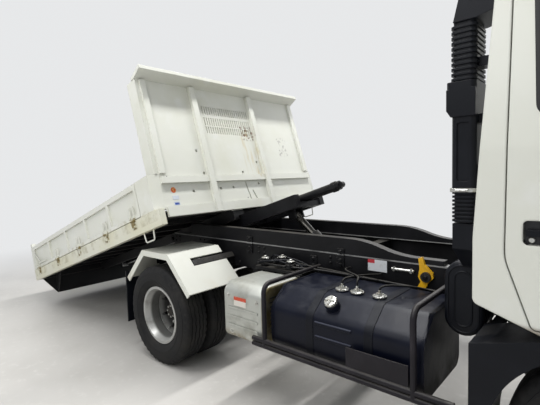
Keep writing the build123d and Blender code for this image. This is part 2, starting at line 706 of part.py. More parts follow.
def cab_lengthways(inset):
    """The cab's side outline, drawn in by an inset, across the whole width."""
    with BuildPart() as volume:
        with BuildSketch(side_plane(cab_half + 60)) as face:
            with BuildLine():
                rounded(cab_side_outline)
            make_face()
            if inset:
                offset(amount=-inset, kind=Kind.INTERSECTION)
        extrude(amount=2 * cab_half + 120)
    return volume.part


def cab_crossways(inset):
    """The cab's front outline, drawn in by an inset, along the whole length."""
    with BuildPart() as volume:
        with BuildSketch(cross_plane(cab_rear - 100)) as face:
            with BuildLine():
                rounded(cab_front_outline)
            make_face()
            if inset:
                offset(amount=-inset, kind=Kind.INTERSECTION)
        extrude(amount=cab_front - cab_rear + 200)
    return volume.part


cab_solid = cab_lengthways(0) & cab_crossways(0)
cab_cavity = cab_lengthways(cab_wall) & cab_crossways(cab_wall)
section_wall = cab_crossways(cab_wall)
section_wall_gap = cab_crossways(cab_wall + door_gap)

door_outline = [
    (door_rear + 90, door_low, 20), (door_rear - 3, door_low + 265, 200), (door_rear + 10, door_high, 90),
    (door_front - 130, door_high - 20, 60), (door_front, cab_belt - 40, 120), (door_front, door_low, 30),
]
window_outline = [
    (door_rear + 105, cab_belt + 121, 40), (door_rear + 88, door_high - 85, 60),
    (door_front - 160, door_high - 95, 50), (door_front - 55, cab_belt + 50, 60),
]
with BuildPart() as door_voids:
    for side in sides.values():
        with BuildSketch(side_plane(max(span(side, cab_half + 60, cab_half - 160)))) as face:
            with BuildLine():
                rounded(door_outline)
            make_face()
            offset(amount=door_gap, kind=Kind.INTERSECTION)
        extrude(amount=220)
    add(section_wall_gap, mode=Mode.SUBTRACT)

screen_low_half = cab_half - 115
screen_high_half = cab_half - 165
windscreen_outline = [(-screen_low_half, cab_belt + 20), (-screen_high_half, cab_roof - 150),
                      (screen_high_half, cab_roof - 150), (screen_low_half, cab_belt + 20)]
rear_window_half = 560.0
rear_window_outline = [(-rear_window_half, cab_belt + 120), (-rear_window_half, cab_roof - 320),
                       (rear_window_half, cab_roof - 320), (rear_window_half, cab_belt + 120)]
cab_floor = (cab_low, cab_floor_low + cab_floor_gauge)
with BuildPart() as cabin:
    add(cab_cavity)
    slab(road, (cab_rear, cab_front), (-cab_half, cab_half), cab_floor, mode=Mode.SUBTRACT)

with BuildPart() as panes:
    plate(cross_plane(cab_front - 420), windscreen_outline, 500, radius=60)
    plate(cross_plane(cab_rear - 60), rear_window_outline, 260, radius=50)

panel_box = {"x": (cab_front - 110, cab_front + 20), "y": (-cab_half + 60, cab_half - 60),
             "z": (cab_low - 10, cab_belt - 60)}
with BuildPart() as cab_shell:
    add(cab_solid)
    add(cabin.part, mode=Mode.SUBTRACT)
    slab(road, (cab_rear - 50, cab_front - cab_wall), (-cab_half + 115, cab_half - 115),
         (cab_low - 50, cab_floor_low), mode=Mode.SUBTRACT)
    add(door_voids.part, mode=Mode.SUBTRACT)
    slab(road, panel_box["x"], panel_box["y"], panel_box["z"], mode=Mode.SUBTRACT)
    add(panes.part, mode=Mode.SUBTRACT)
    for side in sides.values():
        slab(road, (cab_pivot_x - 40, cab_pivot_x + 40), span(side, 440, 480),
             (cab_pivot_z - 30, cab_floor_low + 5))
        across(road_point(cab_pivot_x, side * 460, cab_pivot_z), 25, 15 + bearing_gap, mode=Mode.SUBTRACT)
finish("cab_shell", cab_shell)

with BuildPart() as front_panel:
    add(cab_solid)
    add(cab_cavity, mode=Mode.SUBTRACT)
    slab(road, panel_box["x"], panel_box["y"], panel_box["z"], mode=Mode.INTERSECT)
    for side in sides.values():
        slab(road, (cab_front - 150, cab_front - 20), span(side, 355, 505), (cab_low - 20, cab_floor_low),
             mode=Mode.SUBTRACT)
    for turn in range(6):
        low = cab_low + 195 + 62 * turn
        slab(road, (cab_front - 120, cab_front + 30), (-700, 700), (low, low + 34), mode=Mode.SUBTRACT)
finish("front_panel", front_panel)

glass_outer = cab_lengthways(window_inset) & cab_crossways(cab_wall)
glass_inner = cab_lengthways(window_inset + glass_gauge)
with BuildPart() as cab_glass:
    add(glass_outer)
    add(glass_inner, mode=Mode.SUBTRACT)
    add(panes.part, mode=Mode.INTERSECT)
finish("cab_glass", cab_glass)

door_hinge_radius = 9.0
hinge_length = 70.0
hinge_lows = (door_low + 130, cab_belt - 180)
pull = {"rear": 55.0, "front": 255.0, "low": 323.0, "high": 417.0, "depth": 25.0}
for label, side in sides.items():
    door_plane = side_plane(max(span(side, cab_half + 60, cab_half - 160)))
    with BuildPart() as window:
        with BuildSketch(door_plane):
            with BuildLine():
                rounded(window_outline)
            make_face()
        extrude(amount=220)
    with BuildPart() as leaf:
        with BuildSketch(door_plane):
            with BuildLine():
                rounded(door_outline)
            make_face()
        extrude(amount=220)
        add(window.part, mode=Mode.SUBTRACT)
    with BuildPart() as door:
        add(cab_solid)
        add(leaf.part, mode=Mode.INTERSECT)
        add(section_wall, mode=Mode.SUBTRACT)
        for low in hinge_lows:
            rod(road_point(door_hinge_x, side * door_hinge_y, low),
                road_point(door_hinge_x, side * door_hinge_y, low + hinge_length), door_hinge_radius)
        slab(side_plane(side * cab_half), (door_rear + pull["rear"], door_rear + pull["front"]),
             (door_low + pull["low"], door_low + pull["high"]), span(side, -5, pull["depth"]),
             mode=Mode.SUBTRACT, corner=20)
    finish(f"door_{label}", door)
    bar_z = door_low + (pull["low"] + pull["high"]) / 2
    bar_rear = door_rear + pull["rear"] + 12
    bar_front = door_rear + pull["front"] - 12
    with BuildPart() as door_handle:
        slab(road, (bar_rear, bar_front), span(side, cab_half - 6, cab_half + 6), (bar_z - 13, bar_z + 13))
        for x in (bar_rear, bar_front - 22):
            slab(road, (x, x + 22), span(side, cab_half - pull["depth"], cab_half),
                 (bar_z - 13, bar_z + 13))
    finish(f"door_handle_{label}", door_handle)
    with BuildPart() as door_glass:
        add(cab_crossways(window_inset))
        add(cab_crossways(window_inset + glass_gauge), mode=Mode.SUBTRACT)
        add(window.part, mode=Mode.INTERSECT)
    finish(f"door_glass_{label}", door_glass)

# Cab fittings
floor_high = cab_floor_low + cab_floor_gauge
seat_high = cab_floor_low + 415
seats_table = [{"low": -760.0, "high": -260.0}, {"low": -150.0, "high": 800.0}]
with BuildPart() as seats:
    for seat in seats_table:
        across_seat = (seat["low"], seat["high"])
        slab(road, (cab_rear + 280, cab_rear + 760), across_seat, (seat_high - 130, seat_high))
        slab(road, (cab_rear + 340, cab_rear + 700), (seat["low"] + 60, seat["high"] - 60),
             (floor_high, seat_high - 130))
        plate(side_plane(seat["high"]),
              [(cab_rear + 120, seat_high - 70), (cab_rear + 280, seat_high - 130),
               (cab_rear + 280, seat_high), (cab_rear + 225, cab_roof - 400),
               (cab_rear + 125, cab_roof - 400)], seat["high"] - seat["low"])
finish("seats", seats)

dash_half = cab_half - 145
with BuildPart() as dashboard:
    plate(side_plane(dash_half),
          [(cab_front - 390, floor_high), (cab_front - 350, cab_belt - 180),
           (cab_front - 430, cab_belt - 100), (cab_front - 390, cab_belt - 40),
           (cab_front - 160, cab_belt - 40), (cab_front - 120, cab_belt - 200),
           (cab_front - 110, floor_high)], 2 * dash_half)
finish("dashboard", dashboard)

wheel_centre = road_point(cab_front - 620, -510, cab_belt - 40)
wheel_reach = 200.0
column_run = Vector(0.62, 0, -0.78).normalized()
with BuildPart() as steering_wheel:
    grip_place = wheel_centre + Vector(0, wheel_reach, 0)
    with BuildSketch(Plane(origin=grip_place, z_dir=(1, 0, 0), x_dir=(0, 1, 0))):
        RegularPolygon(14, 8)
    revolve(axis=Axis(wheel_centre, column_run))
    for turn in range(3):
        spoke = Vector(0, 1, 0).rotate(Axis((0, 0, 0), column_run), 120 * turn)
        rod(wheel_centre + spoke * 30, wheel_centre + spoke * (wheel_reach - 5), 10)
    rod(wheel_centre - column_run * 14, wheel_centre + column_run * 60, 45)
    rod(wheel_centre, wheel_centre + column_run * 330, 24)
    add(dashboard.part, mode=Mode.SUBTRACT)
finish("steering_wheel", steering_wheel)

with BuildPart() as mirrors:
    for side in sides.values():
        slab(road, (cab_front - 210, cab_front - 150), span(side, cab_half + 60, cab_half + 250),
             (cab_belt - 40, cab_belt + 350), corner=25)
        for z in (cab_belt, cab_belt + 300):
            rod(road_point(cab_front - 290, side * (cab_half - 60), z),
                road_point(cab_front - 185, side * (cab_half + 80), z), 13)
    add(cab_solid, mode=Mode.SUBTRACT)
finish("mirrors", mirrors)

# Air intake up the cab's right rear corner: bellows, duct, box, louvre and hood, from the bottom up
snorkel_x = (cab_rear - 115, cab_rear - 15)
snorkel_y = (-950.0, -775.0)
bellows = {"low": 1288.0, "pitch": 17.5, "rings": 8}
duct_low = bellows["low"] + bellows["pitch"] * bellows["rings"]
louvre = {"low": 1905.0, "pitch": 22.0, "ribs": 11}
# Height, then how far the block stands out behind, ahead and at the sides
snorkel_blocks = [
    {"low": duct_low, "high": 1440.0, "rear": 4.0, "front": 4.0, "sides": 4.0},
    {"low": 1440.0, "high": 1760.0, "rear": 0.0, "front": 0.0, "sides": 0.0},
    {"low": 1868.0, "high": 1900.0, "rear": 20.0, "front": 0.0, "sides": 8.0},
    {"low": 1900.0, "high": 2160.0, "rear": -3.0, "front": -6.0, "sides": -6.0},
]
with BuildPart() as snorkel:
    slab(road, (snorkel_x[0] + 9, snorkel_x[1] - 9), (snorkel_y[0] + 9, snorkel_y[1] - 9),
         (bellows["low"], duct_low), corner=16)
    for turn in range(bellows["rings"]):
        low = bellows["low"] + bellows["pitch"] * turn
        slab(road, snorkel_x, snorkel_y, (low + 4, low + bellows["pitch"] - 4), corner=24)
    for piece in snorkel_blocks:
        slab(road, (snorkel_x[0] - piece["rear"], snorkel_x[1] + piece["front"]),
             (snorkel_y[0] - piece["sides"], snorkel_y[1] + piece["sides"]),
             (piece["low"], piece["high"]), corner=22)
    plate(side_plane(snorkel_y[1] + 8),
          [(snorkel_x[0], 1750), (snorkel_x[1], 1750), (snorkel_x[1], 1868), (snorkel_x[0] - 18, 1868),
           (snorkel_x[0] - 18, 1778)], snorkel_y[1] - snorkel_y[0] + 16)
    for turn in range(louvre["ribs"]):
        low = louvre["low"] + louvre["pitch"] * turn
        slab(road, (snorkel_x[0] - 5, snorkel_x[1]), snorkel_y, (low, low + louvre["pitch"] / 2), corner=22)
    plate(side_plane(snorkel_y[1] + 4),
          [(snorkel_x[0] + 8, 2150), (snorkel_x[1], 2150), (cab_rear + 90, 2175), (cab_rear + 90, 2345),
           (snorkel_x[1], 2345), (snorkel_x[0] + 50, 2330)], snorkel_y[1] - snorkel_y[0] + 8)
    slab(side_plane(snorkel_y[0]), (snorkel_x[0] + 24, snorkel_x[1] - 24), (1470, 1725), (-7, 5),
         mode=Mode.SUBTRACT, corner=12)
    for z in (1500, 1720, 1960):
        slab(road, (snorkel_x[1] - 10, cab_rear + 80), (snorkel_y[0] + 50, snorkel_y[1] - 50), (z, z + 40))
    add(cab_solid, mode=Mode.SUBTRACT)
finish("snorkel", snorkel)

# Chassis fittings
gearbox_rear = wheelbase - 530
nose = rear_axle_nose + 6
with BuildPart() as powertrain:
    slab(road, (wheelbase - 140, wheelbase + 620), (-290, 290), (560, 950))
    slab(road, (wheelbase - 100, wheelbase + 580), (-180, 180), (440, 560))
    slab(road, (gearbox_rear, wheelbase - 140), (-170, 170), (480, 860))
    prop_start = road_point(gearbox_rear + 5, 0, 640)
    prop_end = road_point(nose, 0, tyre_radius + 25)
    prop_run = (prop_end - prop_start).normalized()
    rod(prop_start, prop_end, 42)
    rod(prop_start, prop_start + prop_run * 90, 62)
    rod(prop_end - prop_run * 70, prop_end - prop_run * 12, 58)
    slab(road, (wheelbase + 660, wheelbase + 720), (-330, 330), (450, 930))
finish("powertrain", powertrain)

# Fuel tank: a section with its own corner radii, straps round it and fittings on its slope and top
tank_outline = [(-470, 430, 60), (-1000, 430, 90), (-1000, 715, 80), (-860, 820, 80), (-470, 820, 40)]
tank_seam = 14.0
strap_half = 25.0
strap_gauge = 3.0
tank_straps = (tank_rear + 290, tank_front - 285)
tank_ribs = (600.0, 680.0)
cap_radius = 42.0
cap_at = Vector(rear_x + tank_rear + 410, -930, 768)
cap_out = Vector(0, -0.6, 0.8)
# Fittings on the tank's top, as distances from its rear end
tank_flanges = (380.0, 480.0, 620.0)
with BuildPart() as fuel_tank:
    rounded_plate(cross_plane(tank_rear + 4), tank_outline, tank_front - tank_rear - 8)
    for x in (tank_rear, tank_front - tank_seam):
        rounded_plate(cross_plane(x), tank_outline, tank_seam, grow=strap_gauge)
    for x in tank_straps:
        rounded_plate(cross_plane(x - strap_half), tank_outline, 2 * strap_half, grow=strap_gauge)
        slab(road, (x - strap_half, x + strap_half), (-475, -rail_out_y), (760, 815))
        slab(road, (x - strap_half, x + strap_half), (-450, -rail_out_y), (500, 815))
        slab(road, (x - strap_half, x + strap_half), (-475, -rail_out_y), (500, 560))
    for z in tank_ribs:
        slab(road, (tank_straps[0] + 40, tank_straps[0] + 270), (-1006, -990), (z - 8, z + 8))
    rod(cap_at - cap_out * 12, cap_at + cap_out * 38, cap_radius)
    for x in tank_flanges:
        rod(road_point(tank_rear + x, -785, 810), road_point(tank_rear + x, -785, 834), 36)
finish("fuel_tank", fuel_tank)

with BuildPart() as exhaust_box:
    with BuildSketch(side_plane(-620)):
        with Locations((950, 610)):
            RectangleRounded(360, 380, 60)
    extrude(amount=390)
    for z in (500, 560, 620):
        slab(road, (800, 1100), (-1016, -1005), (z, z + 26))
    slab(road, (900, 1000), (-625, -rail_out_y), (745, 790))
finish("exhaust_box", exhaust_box)

with BuildPart() as valve_tray:
    slab(road, (700, 1150), (-610, -rail_out_y), (805, 825))
    for x, y, height in ((760, -560, 60), (900, -520, 75), (1010, -560, 60), (850, -480, 55)):
        rod(road_point(x, y, 820), road_point(x, y, 825 + height), 34)
finish("valve_tray", valve_tray)

guard_y = cab_half - 5
guard_radius = 15.0
guard_pipes = (458.0, 492.0)
# Uprights: place along the truck and height of their top run
guard_uprights = [{"x": tank_rear - 25, "top": 850.0}, {"x": cab_rear - 250, "top": 885.0}]
with BuildPart() as side_guards:
    for side in sides.values():
        for z in guard_pipes:
            rod(road_point(tank_rear - 125, side * guard_y, z), road_point(cab_rear - 70, side * guard_y, z),
                guard_radius)
        for upright in guard_uprights:
            x = upright["x"]
            top = upright["top"]
            pipe([road_point(x, side * guard_y, guard_pipes[0]), road_point(x, side * guard_y, top),
                  road_point(x, side * rail_out_y, top)], 60, guard_radius)
    slab(road, (tank_front - 395, tank_front - 60), (-guard_y, -guard_y + 6), (440, 610))
finish("side_guards", side_guards)

drum_x = cab_rear - 109
drum_z = 895.0
drum_face = -780.0
drum_length = 280.0
duct_bottom = 1283.0
with BuildPart() as air_cleaner:
    with BuildSketch(side_plane(drum_face + drum_length)) as drum_end:
        with Locations((drum_x, drum_z)):
            SlotCenterToCenter(190, 180, rotation=90)
    extrude(drum_end.sketch, amount=drum_length)
    fillet(air_cleaner.faces().sort_by(Axis.Y)[0].edges(), 18)
    for y in (drum_face + 70, drum_face + 210):
        with BuildSketch(side_plane(y)) as ring:
            with Locations((drum_x, drum_z)):
                SlotCenterToCenter(190, 188, rotation=90)
        extrude(ring.sketch, amount=12)
    plate(cross_plane(snorkel_x[0] + 5),
          [(snorkel_y[0] + 8, duct_bottom), (snorkel_y[1] - 8, duct_bottom), (-700, 1130), (-640, 1060),
           (-700, 1000), (snorkel_y[0] + 8, 1170)], snorkel_x[1] - snorkel_x[0] - 10)
    slab(road, (drum_x - 31, drum_x + 39), (drum_face + drum_length - 5, -rail_out_y), (850, 930))
finish("air_cleaner", air_cleaner)

with BuildPart() as battery_box:
    slab(road, (1230, 1800), (480, 960), (450, 800))
    slab(road, (1300, 1360), (rail_out_y, 485), (760, 800))
    slab(road, (1680, 1740), (rail_out_y, 485), (760, 800))
    rod(road_point(760, 720, 640), road_point(1180, 720, 640), 120)
    slab(road, (900, 960), (rail_out_y, 720), (745, 790))
finish("battery_box", battery_box)

# Rear fenders: bent sheets with a deep outer lip, their front slope cut open from its inner edge
fender_line = [(-450, 655), (-185, 925), (185, 925), (450, 655)]
fender_y = (540.0, 1060.0)
fender_gauge = 12.0
fender_lip = {"deep": 46.0, "wide": 12.0}
fender_cut = {"x": 262.0, "z": 846.0, "half": 38.0, "end": 885.0}
slope = Vector(265, -270, 0).normalized()
with BuildPart() as rear_fenders:
    for side in sides.values():
        bent_sheet(side_plane(max(span(side, *fender_y))), fender_line, fender_gauge,
                   fender_y[1] - fender_y[0])
        lip_edge = max(span(side, fender_y[1] - fender_lip["wide"], fender_y[1]))
        bent_sheet(side_plane(lip_edge), fender_line, fender_lip["deep"], fender_lip["wide"])
        cut = [(fender_cut["x"] + slope.X * a - slope.Y * b, fender_cut["z"] + slope.Y * a + slope.X * b)
               for a, b in ((-fender_cut["half"], -25), (fender_cut["half"], -25), (fender_cut["half"], 25),
                            (-fender_cut["half"], 25))]
        plate(side_plane(max(span(side, fender_y[0] - 10, fender_cut["end"]))), cut,
              fender_cut["end"] - fender_y[0] + 10, mode=Mode.SUBTRACT)
        slab(road, (-40, 40), span(side, rail_out_y, 560), (880, 920))
finish("rear_fenders", rear_fenders)

# Channel bars under the fenders, from the rail out
stays = [{"x": 225.0, "low": 765.0}, {"x": -273.0, "low": 765.0}]
stay_out = 870.0
with BuildPart() as fender_stays:
    for side in sides.values():
        for stay in stays:
            slab(road, (stay["x"], stay["x"] + 48), span(side, rail_out_y, stay_out),
                 (stay["low"], stay["low"] + 50))
            slab(road, (stay["x"] + 8, stay["x"] + 40), span(side, rail_out_y, stay_out + 1),
                 (stay["low"] - 1, stay["low"] + 42), mode=Mode.SUBTRACT)
finish("fender_stays", fender_stays)

guard_in = cab_half - 285
guard_out = cab_half - 5
arch_radius = 450.0
arch_high = tyre_radius + arch_radius + 14
guard_rear = wheelbase - 515
guard_low = 330.0
flap_low = 240.0
with BuildPart() as mudguards:
    for side in sides.values():
        slab(road, (-500, -488), span(side, 600, 1050), (flap_low, 700))
        slab(road, (-500, -440), span(side, rail_out_y, 640), (745, 790))
        slab(road, (-500, -470), span(side, 560, 640), (640, 760))
        with BuildSketch(side_plane(max(span(side, guard_in, guard_out)))) as face:
            with BuildLine():
                Polyline((wheelbase, arch_high - 14), (wheelbase, arch_high), (wheelbase - 240, arch_high),
                         (guard_rear, arch_high - 76), (guard_rear, guard_low),
                         (wheelbase - arch_radius, guard_low), (wheelbase - arch_radius, tyre_radius))
                CenterArc((wheelbase, tyre_radius), arch_radius, 90, 90)
            make_face()
        extrude(face.sketch, amount=guard_out - guard_in)
        slab(road, (guard_rear + 11, guard_rear + 51), span(side, rail_out_y, guard_in + 5), (745, 785))
finish("mudguards", mudguards)

with BuildPart() as underrun_bar:
    slab(road, (-660, -600), (-950, 950), (420, 520))
    for side in sides.values():
        slab(road, (-618, -575), span(side, 385, rail_out_y), (520, rail_low))
finish("underrun_bar", underrun_bar)

# Bumper: rounded in plan, hollow behind, with steps under the doors
bumper_low = 390.0
bumper_high = 812.0
lamp_y = (700.0, 960.0)
lamp_z = (600.0, 750.0)
intake = {"half": 520.0, "low": 450.0, "high": 560.0}
step_rear = wheelbase + 480
steps_low = (440.0, 630.0)


def bumper_plan(front, half, corner):
    """The bumper seen from above, as corners with their radii."""
    back = bumper_rear - 60
    return [(back, -half, 5), (front, -half, corner), (front, half, corner), (back, half, 5)]


with BuildPart() as bumper:
    rounded_plate(road.offset(bumper_low), bumper_plan(bumper_front, bumper_half, 150),
                  bumper_high - bumper_low)
    rounded_plate(road.offset(bumper_low - 50), bumper_plan(bumper_front - 45, bumper_half - 50, 110),
                  bumper_high - 42 - bumper_low + 50, mode=Mode.SUBTRACT)
    slab(road, (bumper_rear - 70, bumper_rear), (-bumper_half - 10, bumper_half + 10),
         (bumper_low - 10, bumper_high + 10), mode=Mode.SUBTRACT)
    slab(road, (bumper_front - 70, bumper_front + 10), (-intake["half"], intake["half"]),
         (intake["low"], intake["high"]), mode=Mode.SUBTRACT)
    for side in sides.values():
        slab(road, (bumper_front - 70, bumper_front + 10), span(side, *lamp_y), lamp_z, mode=Mode.SUBTRACT)
        slab(road, (step_rear, bumper_rear + 10), span(side, cab_half - 215, cab_half + 15),
             (bumper_low, bumper_high))
        for low in steps_low:
            slab(road, (step_rear + 40, bumper_rear - 30), span(side, cab_half - 165, cab_half + 25),
                 (low, low + 130), mode=Mode.SUBTRACT)
        slab(road, (rail_front, bumper_front - 40), span(side, 375, rail_out_y), (770, bumper_high))
        slab(road, (rail_front, cab_pivot_x + 28), span(side, 375, rail_out_y), (770, cab_pivot_z + 15))
        across(road_point(cab_pivot_x, side * (rail_out_y + 20), cab_pivot_z), 38, 15)
        slab(road, (rail_front - 200, rail_front - 140), span(side, rail_out_y, cab_half - 205), (745, 790))
finish("bumper", bumper)

with BuildPart() as lamps:
    for side in sides.values():
        slab(road, (bumper_front - 45, bumper_front - 10), span(side, *lamp_y), lamp_z)
        slab(road, (-640, -600), span(side, 560, 860), (520, 610))
finish("lamps", lamps)

# Bed lock: a hooked plate on the rail, drawn from its hub's place
lock_hub = (subframe_front - 97, 888.0)
lock_gauge = 18.0
lock_hub_radius = 30.0
lock_outline = [(-47, 107), (-22, 118), (-10, 74), (39, 26), (42, -4), (9, -39), (-21, -118), (-46, -117),
                (-56, -74), (-34, -34), (-49, -5), (-40, 46)]
with BuildPart() as bed_lock:
    plate(side_plane(-rail_out_y), [(lock_hub[0] + x, lock_hub[1] + z) for x, z in lock_outline],
          lock_gauge)
    rod(road_point(lock_hub[0], -rail_out_y - 34, lock_hub[1]),
        road_point(lock_hub[0], -rail_out_y, lock_hub[1]), lock_hub_radius)
finish("bed_lock", bed_lock)

tow_eye_radius = 20.0
tow_eye_gauge = 25.0
tow_eye_half = 40.0
tow_eye_in = web_inner - tow_eye_gauge
# Eye's place, the end of its plate on the frame, and the plate's low and high
tow_eye_table = [
    {"x": -655.0, "z": 895.0, "root": -540.0},
    {"x": rail_front + 55, "z": 700.0, "root": rail_front - 60},
]
with BuildPart() as tow_eyes:
    for side in sides.values():
        for eye in tow_eye_table:
            slab(road, tuple(sorted((eye["x"], eye["root"]))), span(side, tow_eye_in, web_inner),
                 (eye["z"] - tow_eye_half, eye["z"] + tow_eye_half))
            centre = road_point(eye["x"], side * (tow_eye_in + tow_eye_gauge / 2), eye["z"])
            across(centre, tow_eye_gauge / 2, tow_eye_half)
            across(centre, tow_eye_gauge, tow_eye_radius, mode=Mode.SUBTRACT)
finish("tow_eyes", tow_eyes)
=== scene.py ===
# %% [markdown]
# # A dump truck with its bed slid back and tipped
# The solids come from the packed part and stay where they are. This file gives them their
# paint, rubber and metal, and adds what is too small or too soft for the solids: tread, nuts,
# rivets, seals, fittings, labels without print, and the seats.

import math

import bmesh
import bpy
from mathutils import Matrix, Vector


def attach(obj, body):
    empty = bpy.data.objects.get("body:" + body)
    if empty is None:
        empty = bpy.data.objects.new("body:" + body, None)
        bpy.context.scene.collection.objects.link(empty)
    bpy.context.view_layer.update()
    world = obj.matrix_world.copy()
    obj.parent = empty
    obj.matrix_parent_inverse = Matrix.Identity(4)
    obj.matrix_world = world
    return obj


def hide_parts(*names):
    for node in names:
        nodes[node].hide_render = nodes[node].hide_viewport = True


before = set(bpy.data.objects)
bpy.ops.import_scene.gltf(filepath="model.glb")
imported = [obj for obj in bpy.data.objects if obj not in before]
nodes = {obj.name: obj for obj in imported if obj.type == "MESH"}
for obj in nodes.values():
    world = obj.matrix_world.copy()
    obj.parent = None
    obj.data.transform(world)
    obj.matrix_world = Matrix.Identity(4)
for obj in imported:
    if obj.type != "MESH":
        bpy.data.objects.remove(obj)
scene = bpy.context.scene
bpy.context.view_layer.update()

# %% [markdown]
# The truck is measured from the point on the ground under its rear axle, and the bed from the
# same point along its own tilted axes. Two small functions turn such measures into places, so
# that every number below can be checked on the real truck with a tape.

# %% Places on the truck and on the bed
REAR_X = -0.575717
BED_TILT = math.radians(17.2)
AHEAD = Vector((1, 0, 0))
ACROSS = Vector((0, 1, 0))
UP = Vector((0, 0, 1))
ALONG_BED = Vector((math.cos(BED_TILT), 0, math.sin(BED_TILT)))
SQUARE_TO_BED = Vector((-math.sin(BED_TILT), 0, math.cos(BED_TILT)))
BED_AXES = (ALONG_BED, ACROSS, SQUARE_TO_BED)
SIDES = {"right": -1, "left": 1}


def on_truck(x, y, z):
    """A place given in metres ahead of the rear axle, to the left and up."""
    return Vector((REAR_X + x, y, z))


def on_bed(u, y, n):
    """A place given in metres along the bed, to the left and square to its floor."""
    return Vector((REAR_X, y, 0)) + u * ALONG_BED + n * SQUARE_TO_BED


def in_scene(name, data):
    """A new object that stands in the scene."""
    made = bpy.data.objects.new(name, data)
    scene.collection.objects.link(made)
    return made


print("bed corner", on_bed(0.48, -1.0, 2.31))

# %% [markdown]
# ## Camera
# The photograph was taken from beside the cab, looking back along the truck with a wide lens.
# The place and the three angles were found from points that can be recognised on both the
# picture and the solids. An aim point would be easier to set, but it leaves the slight roll out.

# %% Camera
CAMERA_PLACE = (2.2353, -2.796, 1.520)
YAW, PITCH, ROLL = (math.radians(turn) for turn in (48.37, 3.93, -1.62))
camera = in_scene("camera", bpy.data.cameras.new("camera"))
scene.camera = camera
look = Vector((-math.cos(YAW) * math.cos(PITCH), math.sin(YAW) * math.cos(PITCH), -math.sin(PITCH)))
level = Vector((math.sin(YAW), math.cos(YAW), 0))
lift = level.cross(look)
right = math.cos(ROLL) * level + math.sin(ROLL) * lift
top = -math.sin(ROLL) * level + math.cos(ROLL) * lift
camera.matrix_world = Matrix.Translation(CAMERA_PLACE) @ Matrix((right, top, -look)).transposed().to_4x4()
camera.data.sensor_width = 36
camera.data.lens = 26.4
camera.data.clip_start = 0.02
print("camera looks along", tuple(round(a, 3) for a in look))

# %% [markdown]
# ## Light
# The truck is lit from above. One long narrow lamp over it gives the same band of shade under
# the visor as on the picture. A single lamp would leave the black frame without shape, so two
# wide lamps at the sides and two weaker ones ahead and behind keep it readable.

# %% Lamps and world
BACKDROP = (0.80, 0.81, 0.82)
SKY_LIGHT = (0.90, 0.94, 1.0)
SKY_STRENGTH = 0.33
# Name, place, the point it is aimed at, its two sizes, power
lamps = [
    ("roof_lamp", (-0.42, 0.0, 6.6), (-0.42, 0.0, 0.0), (0.45, 9.0), 600),
    ("right_lamp", (-0.3, -6.0, 4.9), (-0.7, 0.0, 0.9), (6.0, 3.0), 150),
    ("left_lamp", (0.5, 6.5, 4.0), (0.0, 0.0, 1.0), (6.0, 3.0), 120),
    ("front_lamp", (7.0, -2.0, 4.0), (0.5, 0.0, 1.0), (4.0, 3.0), 40),
    ("tail_lamp", (-7.0, -1.0, 3.5), (-1.0, 0.0, 1.0), (4.0, 3.0), 66),
]
for name, place, target, size, power in lamps:
    light = bpy.data.lights.new(name, "AREA")
    light.shape = "RECTANGLE"
    light.size, light.size_y = size
    light.energy = power
    lamp = in_scene(name, light)
    lamp.location = place
    lamp.rotation_euler = (Vector(target) - Vector(place)).to_track_quat("-Z", "Y").to_euler()

scene.view_settings.view_transform = "Standard"
scene.world = bpy.data.worlds.new("surroundings")
scene.world.use_nodes = True
sky = scene.world.node_tree
sky.nodes.clear()
lit = sky.nodes.new("ShaderNodeBackground")
lit.inputs["Color"].default_value = (*SKY_LIGHT, 1)
lit.inputs["Strength"].default_value = SKY_STRENGTH
seen = sky.nodes.new("ShaderNodeBackground")
seen.inputs["Color"].default_value = (*BACKDROP, 1)
path = sky.nodes.new("ShaderNodeLightPath")
shown = sky.nodes.new("ShaderNodeMixShader")
world_out = sky.nodes.new("ShaderNodeOutputWorld")
sky.links.new(path.outputs["Is Camera Ray"], shown.inputs["Fac"])
sky.links.new(lit.outputs[0], shown.inputs[1])
sky.links.new(seen.outputs[0], shown.inputs[2])
sky.links.new(shown.outputs[0], world_out.inputs["Surface"])
print("lamps", len(lamps))

# %% [markdown]
# ## Nodes for every finish
# Where paint is worn, wet or dirty depends on the place: the height, the distance to an axle, the
# way a face looks. A mask is a number from 0 to 1 at each point, worked out from such measures by
# nodes. Masks that are multiplied hold only where they meet. They could be painted by hand, but
# these fit again when a solid changes, and they use the part's own coordinates, so they stay put
# on a piece when it moves.

